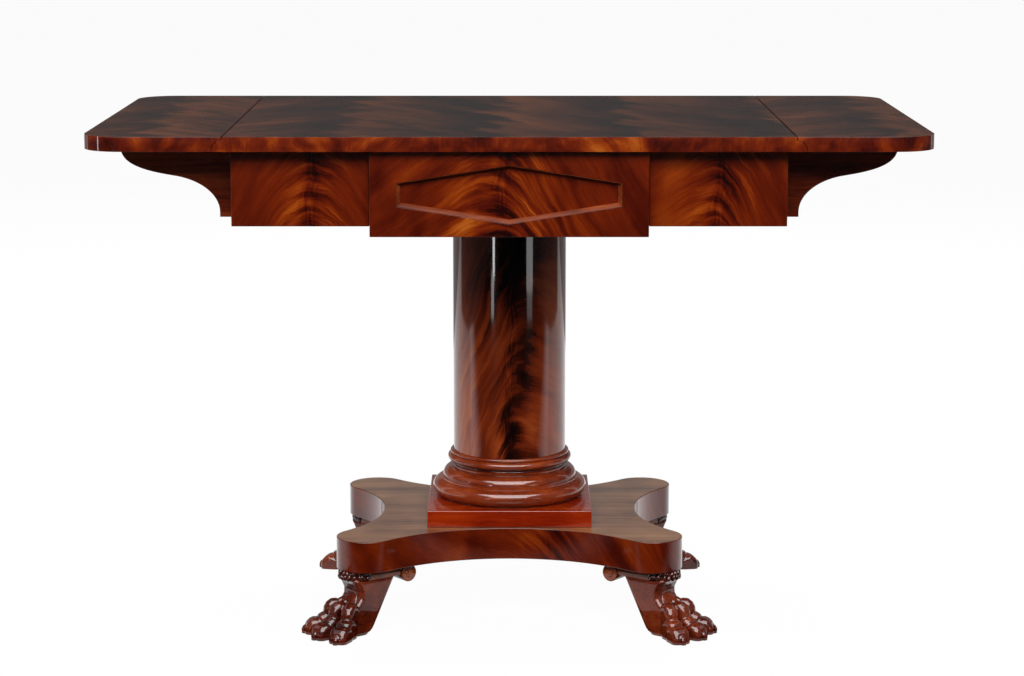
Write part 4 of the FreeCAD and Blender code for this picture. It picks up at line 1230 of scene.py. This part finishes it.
@dataclass
class Paws(Assembly):
    """Four carved paw feet, modelled once."""

    lobe: Pair = (0.214, 0.172)
    turn: float = 38.0
    voxel: float = 0.0011
    sole: float = 0.0002
    root: float = 0.006
    toe_turns: Triple = (-27.0, 0.0, 27.0)
    roll_place: Triple = (-0.057, 0.0, 0.0838)
    rolls: tuple[Triple, ...] = ((0.0132, 0.06, 0.0014), (0.0062, 0.0626, 0.001),
                                 (0.0028, 0.0645, 0.0009))
    core_scale: Triple = (0.0445, 0.0287, 1.0)
    core_height: float = 0.0903
    core_depth: float = 0.0125
    core_back: float = 0.0115
    core_ease: float = 0.003
    leaf_rows: tuple[tuple[int, float, float], ...] = ((12, 0.0930, 0.0446), (13, 0.0874, 0.0452))
    leaf_sweep: float = 68.0
    leaf_width: float = 0.0032
    leaf_height: float = 0.0052
    flatness: float = 0.645
    seed: int = 7

    def build(self) -> None:
        """Carve one foot and set four copies under the lobes."""
        model = self.carve()
        corners = {"front_right": (1, -1, -self.turn), "back_right": (1, 1, self.turn),
                   "back_left": (-1, 1, 180 - self.turn), "front_left": (-1, -1, 180 + self.turn)}
        for corner, (sx, sy, angle) in corners.items():
            foot = bpy.data.objects.new(corner + "_paw_carved", model.data.copy())
            bpy.context.scene.collection.objects.link(foot)
            foot.data.name = foot.name
            foot.location = (sx * self.lobe[0], sy * self.lobe[1], 0.0)
            foot.rotation_euler.z = math.radians(angle)
            Bench.settle(foot)
            self.own(foot, "frame", "solid_mahogany", corner + "_paw_foot")
        bpy.data.objects.remove(model)

    def band(self) -> list[Object]:
        """Make the band under the platform, which ends in a scrolled roll with raised eyes.

        Returns:
            Its parts.
        """
        parts = [SLAB.cut()]
        for radius, depth, rounding in self.rolls:
            Bench.clear()
            bpy.ops.mesh.primitive_cylinder_add(vertices=48, radius=radius, depth=depth,
                                                location=self.roll_place,
                                                rotation=(math.pi / 2, 0.0, 0.0))
            parts.append(bpy.context.object)
            Bench.bevel(parts[-1], rounding)
        return parts

    def collar(self) -> list[Object]:
        """Carve two rows of small leaves round the outer end of the band.

        Returns:
            The core and its leaves.
        """
        dice = random.Random(self.seed)
        Bench.clear()
        bpy.ops.mesh.primitive_cylinder_add(vertices=64, radius=1.0, depth=self.core_depth,
                                            location=(0.0, 0.0, self.core_height),
                                            scale=self.core_scale)
        leaves = [bpy.context.object]
        Bench.bevel(leaves[0], self.core_ease)
        Bench.trim(leaves[0], (self.core_back, 0, 0), (-1, 0, 0))
        for count, height, reach in self.leaf_rows:
            for step in range(count):
                way = 2.0 * step / (count - 1) - 1.0
                spread = self.leaf_sweep * way * (1.15 - 0.15 * way * way)
                angle = math.radians(spread + dice.uniform(-2.0, 2.0))
                out, aside = reach * math.cos(angle), reach * math.sin(angle) * self.flatness
                Bench.clear()
                bpy.ops.mesh.primitive_uv_sphere_add(
                    segments=14, ring_count=9, radius=1.0, location=(out, aside, height),
                    rotation=(dice.uniform(-0.7, 0.7), dice.uniform(-0.4, 0.5), angle),
                    scale=(self.leaf_width, self.leaf_width + dice.uniform(-0.0006, 0.0006),
                           self.leaf_height + dice.uniform(-0.0008, 0.0006)))
                leaves.append(bpy.context.object)
        return leaves

    def carve(self) -> Object:
        """Model one foot in its own frame, outwards along X.

        Returns:
            The dressed foot.
        """
        parts = [LEG.cut()]
        parts += [block.cut(turn, self.root) for turn in self.toe_turns for block in TOE]
        paw = Bench.joined("paw_model", parts)
        Bench.finish(paw, "REMESH", mode="VOXEL", voxel_size=self.voxel)
        Bench.finish(paw, "SMOOTH", factor=0.5, iterations=4)
        Bench.trim(paw, (0, 0, self.sole), (0, 0, -1))
        self.dress(paw, CARVED)
        band = Bench.joined("paw_band", self.band())
        # The band's lighter finish is painted light for the shade under the platform's lobe.
        self.dress(band, BAND_PAINTED_LIGHT)
        collar = Bench.joined("paw_collar", self.collar())
        self.dress(collar, LEAVES)
        paw = Bench.joined("paw_model", [paw, band, collar])
        Bench.smooth(paw, 50.0)
        return paw


@dataclass(frozen=True)
class Card:
    """A card that only the polish reflects, dark or pale."""

    name: str
    place: Triple
    size: Pair
    turn: Triple
    glow: float
    fade: Pair | None = None

    def build(self) -> None:
        """Stand the card in the studio; a fade grows along Y from its first place to its second."""
        Bench.clear()
        bpy.ops.mesh.primitive_plane_add(size=1.0, location=self.place,
                                         rotation=tuple(math.radians(t) for t in self.turn))
        card = Bench.named(self.name)
        card.scale = (*self.size, 1.0)
        card.visible_camera = card.visible_diffuse = False
        card.visible_shadow = card.visible_transmission = False
        material, sheet = new_sheet(self.name)
        colour = WHITE
        if self.fade:
            depth = sheet.axes(sheet.place())[1]
            colour = (depth * self.size[1] + self.place[1]).step(*self.fade)
        sheet.close(sheet.add("ShaderNodeEmission", None, {"Color": colour, "Strength": self.glow}))
        card.data.materials.append(material)


@dataclass(frozen=True)
class Lamp:
    """A soft rectangular light."""

    name: str
    place: Triple
    aim: Triple
    size: Pair
    watts: float
    mirrored: bool = True

    def build(self) -> None:
        """Hang the light and turn it to its aim."""
        Bench.clear()
        turn = (Vector(self.aim) - Vector(self.place)).to_track_quat("-Z", "Y")
        bpy.ops.object.light_add(type="AREA", location=self.place, rotation=turn.to_euler())
        lamp = bpy.context.object
        lamp.name = self.name
        lamp.data.shape = "RECTANGLE"
        lamp.data.size, lamp.data.size_y = self.size
        lamp.data.energy = self.watts
        lamp.visible_camera = False
        lamp.visible_glossy = self.mirrored


CARDS = (
    Card("front_mat", (0.0, -4.23, 0.003), (5.2, 8.26), (0, 0, 0), 1.0, (-0.58, -0.2)),
    Card("left_shine", (-1.8, -0.46, 0.006), (1.6, 0.68), (0, 0, 0), 1.6, (-0.8, -0.25)),
    Card("right_shine", (1.8, -0.46, 0.006), (1.6, 0.68), (0, 0, 0), 1.4, (-0.8, -0.25)),
    Card("left_mat", (-0.35, -0.29, 0.004), (0.5, 0.34), (0, 0, 0), 0.237, (-0.3, -0.46)),
    Card("right_mat", (0.35, -0.29, 0.004), (0.5, 0.34), (0, 0, 0), 0.237, (-0.3, -0.46)),
    Card("front_ceiling", (0.0, -2.3, 3.2), (9.0, 3.0), (0, 0, 0), 8.0),
    Card("front_window", (0.0, -5.0, 2.55), (9.0, 1.3), (90, 0, 0), 6.0),
    Card("front_flag", (0.0, -6.4, 2.04), (8.0, 2.4), (90, 0, 0), 0.06),
    Card("back_flag", (0.0, 2.2, 2.04), (7.0, 2.4), (90, 0, 0), 0.055),
    Card("back_card", (0.0, 2.2, 0.42), (7.0, 0.84), (90, 0, 0), 0.25),
    Card("left_flag", (-2.6, -3.6, 1.6), (3.2, 9.6), (0, 90, 0), 0.06),
    Card("right_flag", (2.6, -3.6, 1.6), (3.2, 9.6), (0, 90, 0), 0.06),
    Card("left_window", (-2.5, -0.79, 0.54), (0.1, 0.24), (90, 0, -75), 9.0),
    Card("left_strip", (-1.36, -2.22, 0.255), (0.19, 0.23), (90, 0, -31), 12.0),
    Card("left_glow", (-1.47, -2.18, 0.085), (0.26, 0.11), (90, 0, -31), 4.0),
    Card("right_strip", (1.7, -1.96, 0.235), (0.6, 0.27), (90, 0, 41), 3.2),
    Card("right_glow", (1.7, -1.96, 0.065), (0.5, 0.07), (90, 0, 41), 1.2),
)
LAMPS = (
    Lamp("key_softbox", (-0.3, -4.1, 3.65), (0.0, 0.0, 0.5), (7.0, 2.4), 415.0),
    Lamp("left_softbox", (-3.3, -0.3, 1.4), (0.0, 0.0, 0.4), (1.6, 1.6), 34.0),
    Lamp("right_softbox", (3.3, -0.3, 1.4), (0.0, 0.0, 0.4), (1.6, 1.6), 30.0),
    Lamp("back_softbox", (0.3, 4.4, 2.2), (0.0, 0.0, 0.4), (5.0, 1.6), 110.0, False),
    Lamp("top_softbox", (0.0, 0.6, 3.6), (0.0, 0.0, 0.6), (2.4, 2.0), 85.0, False),
)


@dataclass
class Studio:
    """Pale floor, white surround, soft lights and the camera."""

    fill: float = 0.025
    lens: float = 95.3
    eye: Triple = (0.0039, -4.121, 1.1416)
    tilt: float = 80.0
    sensor: float = 36.0
    floor_size: float = 80.0
    floor_dark: float = 0.06
    floor_pale: float = 0.74
    floor_white: float = 0.96

    def build(self) -> None:
        """Set up everything round the table."""
        scene = bpy.context.scene
        scene.view_settings.view_transform = "Standard"
        self.surround(scene)
        self.floor()
        for thing in (*CARDS, *LAMPS):
            thing.build()
        self.camera(scene)

    @staticmethod
    def seen(sheet: NodeSheet) -> Value:
        """Mark the rays of the camera, of gloss and of glass.

        Args:
            sheet: the nodes.

        Returns:
            1 for these rays and 0 for the others.
        """
        path = sheet.add("ShaderNodeLightPath", output="Is Camera Ray")
        rays = path + path.other("Is Glossy Ray") + path.other("Is Transmission Ray")
        return sheet.math("MINIMUM", rays, 1.0)

    def surround(self, scene: Scene) -> None:
        """Make a white surround that lights the table only dimly.

        Args:
            scene: the scene.
        """
        world = scene.world or bpy.data.worlds.new("surround")
        scene.world = world
        world.use_nodes = True
        sheet = NodeSheet(world.node_tree)
        strength = self.seen(sheet) * (1.0 - self.fill) + self.fill
        light = sheet.add("ShaderNodeBackground", None, {"Color": WHITE, "Strength": strength})
        sheet.close(light, "ShaderNodeOutputWorld")

    def floor(self) -> None:
        """Lay a pale floor that shows white and keeps a faint shadow."""
        Bench.clear()
        bpy.ops.mesh.primitive_plane_add(size=self.floor_size)
        floor = Bench.named("studio_floor")
        material, sheet = new_sheet("pale_floor")
        seen = self.seen(sheet)
        pale = {"Color": seen * self.floor_pale + self.floor_dark}
        matt = sheet.add("ShaderNodeBsdfDiffuse", None, pale)
        white = sheet.add("ShaderNodeEmission", None, {"Color": WHITE, "Strength": 1.0})
        share = seen * self.floor_white
        sheet.close(sheet.add("ShaderNodeMixShader", None, {0: share, 1: matt, 2: white}))
        floor.data.materials.append(material)

    def camera(self, scene: Scene) -> None:
        """Stand the camera where the photograph was taken from.

        Args:
            scene: the scene.
        """
        Bench.clear()
        bpy.ops.object.camera_add(location=self.eye, rotation=(math.radians(self.tilt), 0.0, 0.0))
        camera = bpy.context.object
        camera.data.lens = self.lens
        camera.data.sensor_width = self.sensor
        scene.camera = camera


def main() -> None:
    """Build the table's looks, then the studio, and log how many pieces each part has."""
    logging.basicConfig(level=logging.INFO, format="%(name)s %(message)s")
    for part in (Top(), Frieze(), FlySupports(), Drawer(), Pedestal(), Paws()):
        part.build()
        LOG.info("%s: %d pieces", type(part).__name__, len(part.pieces))
    Studio().build()
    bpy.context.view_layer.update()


if __name__ == "__main__":
    main()
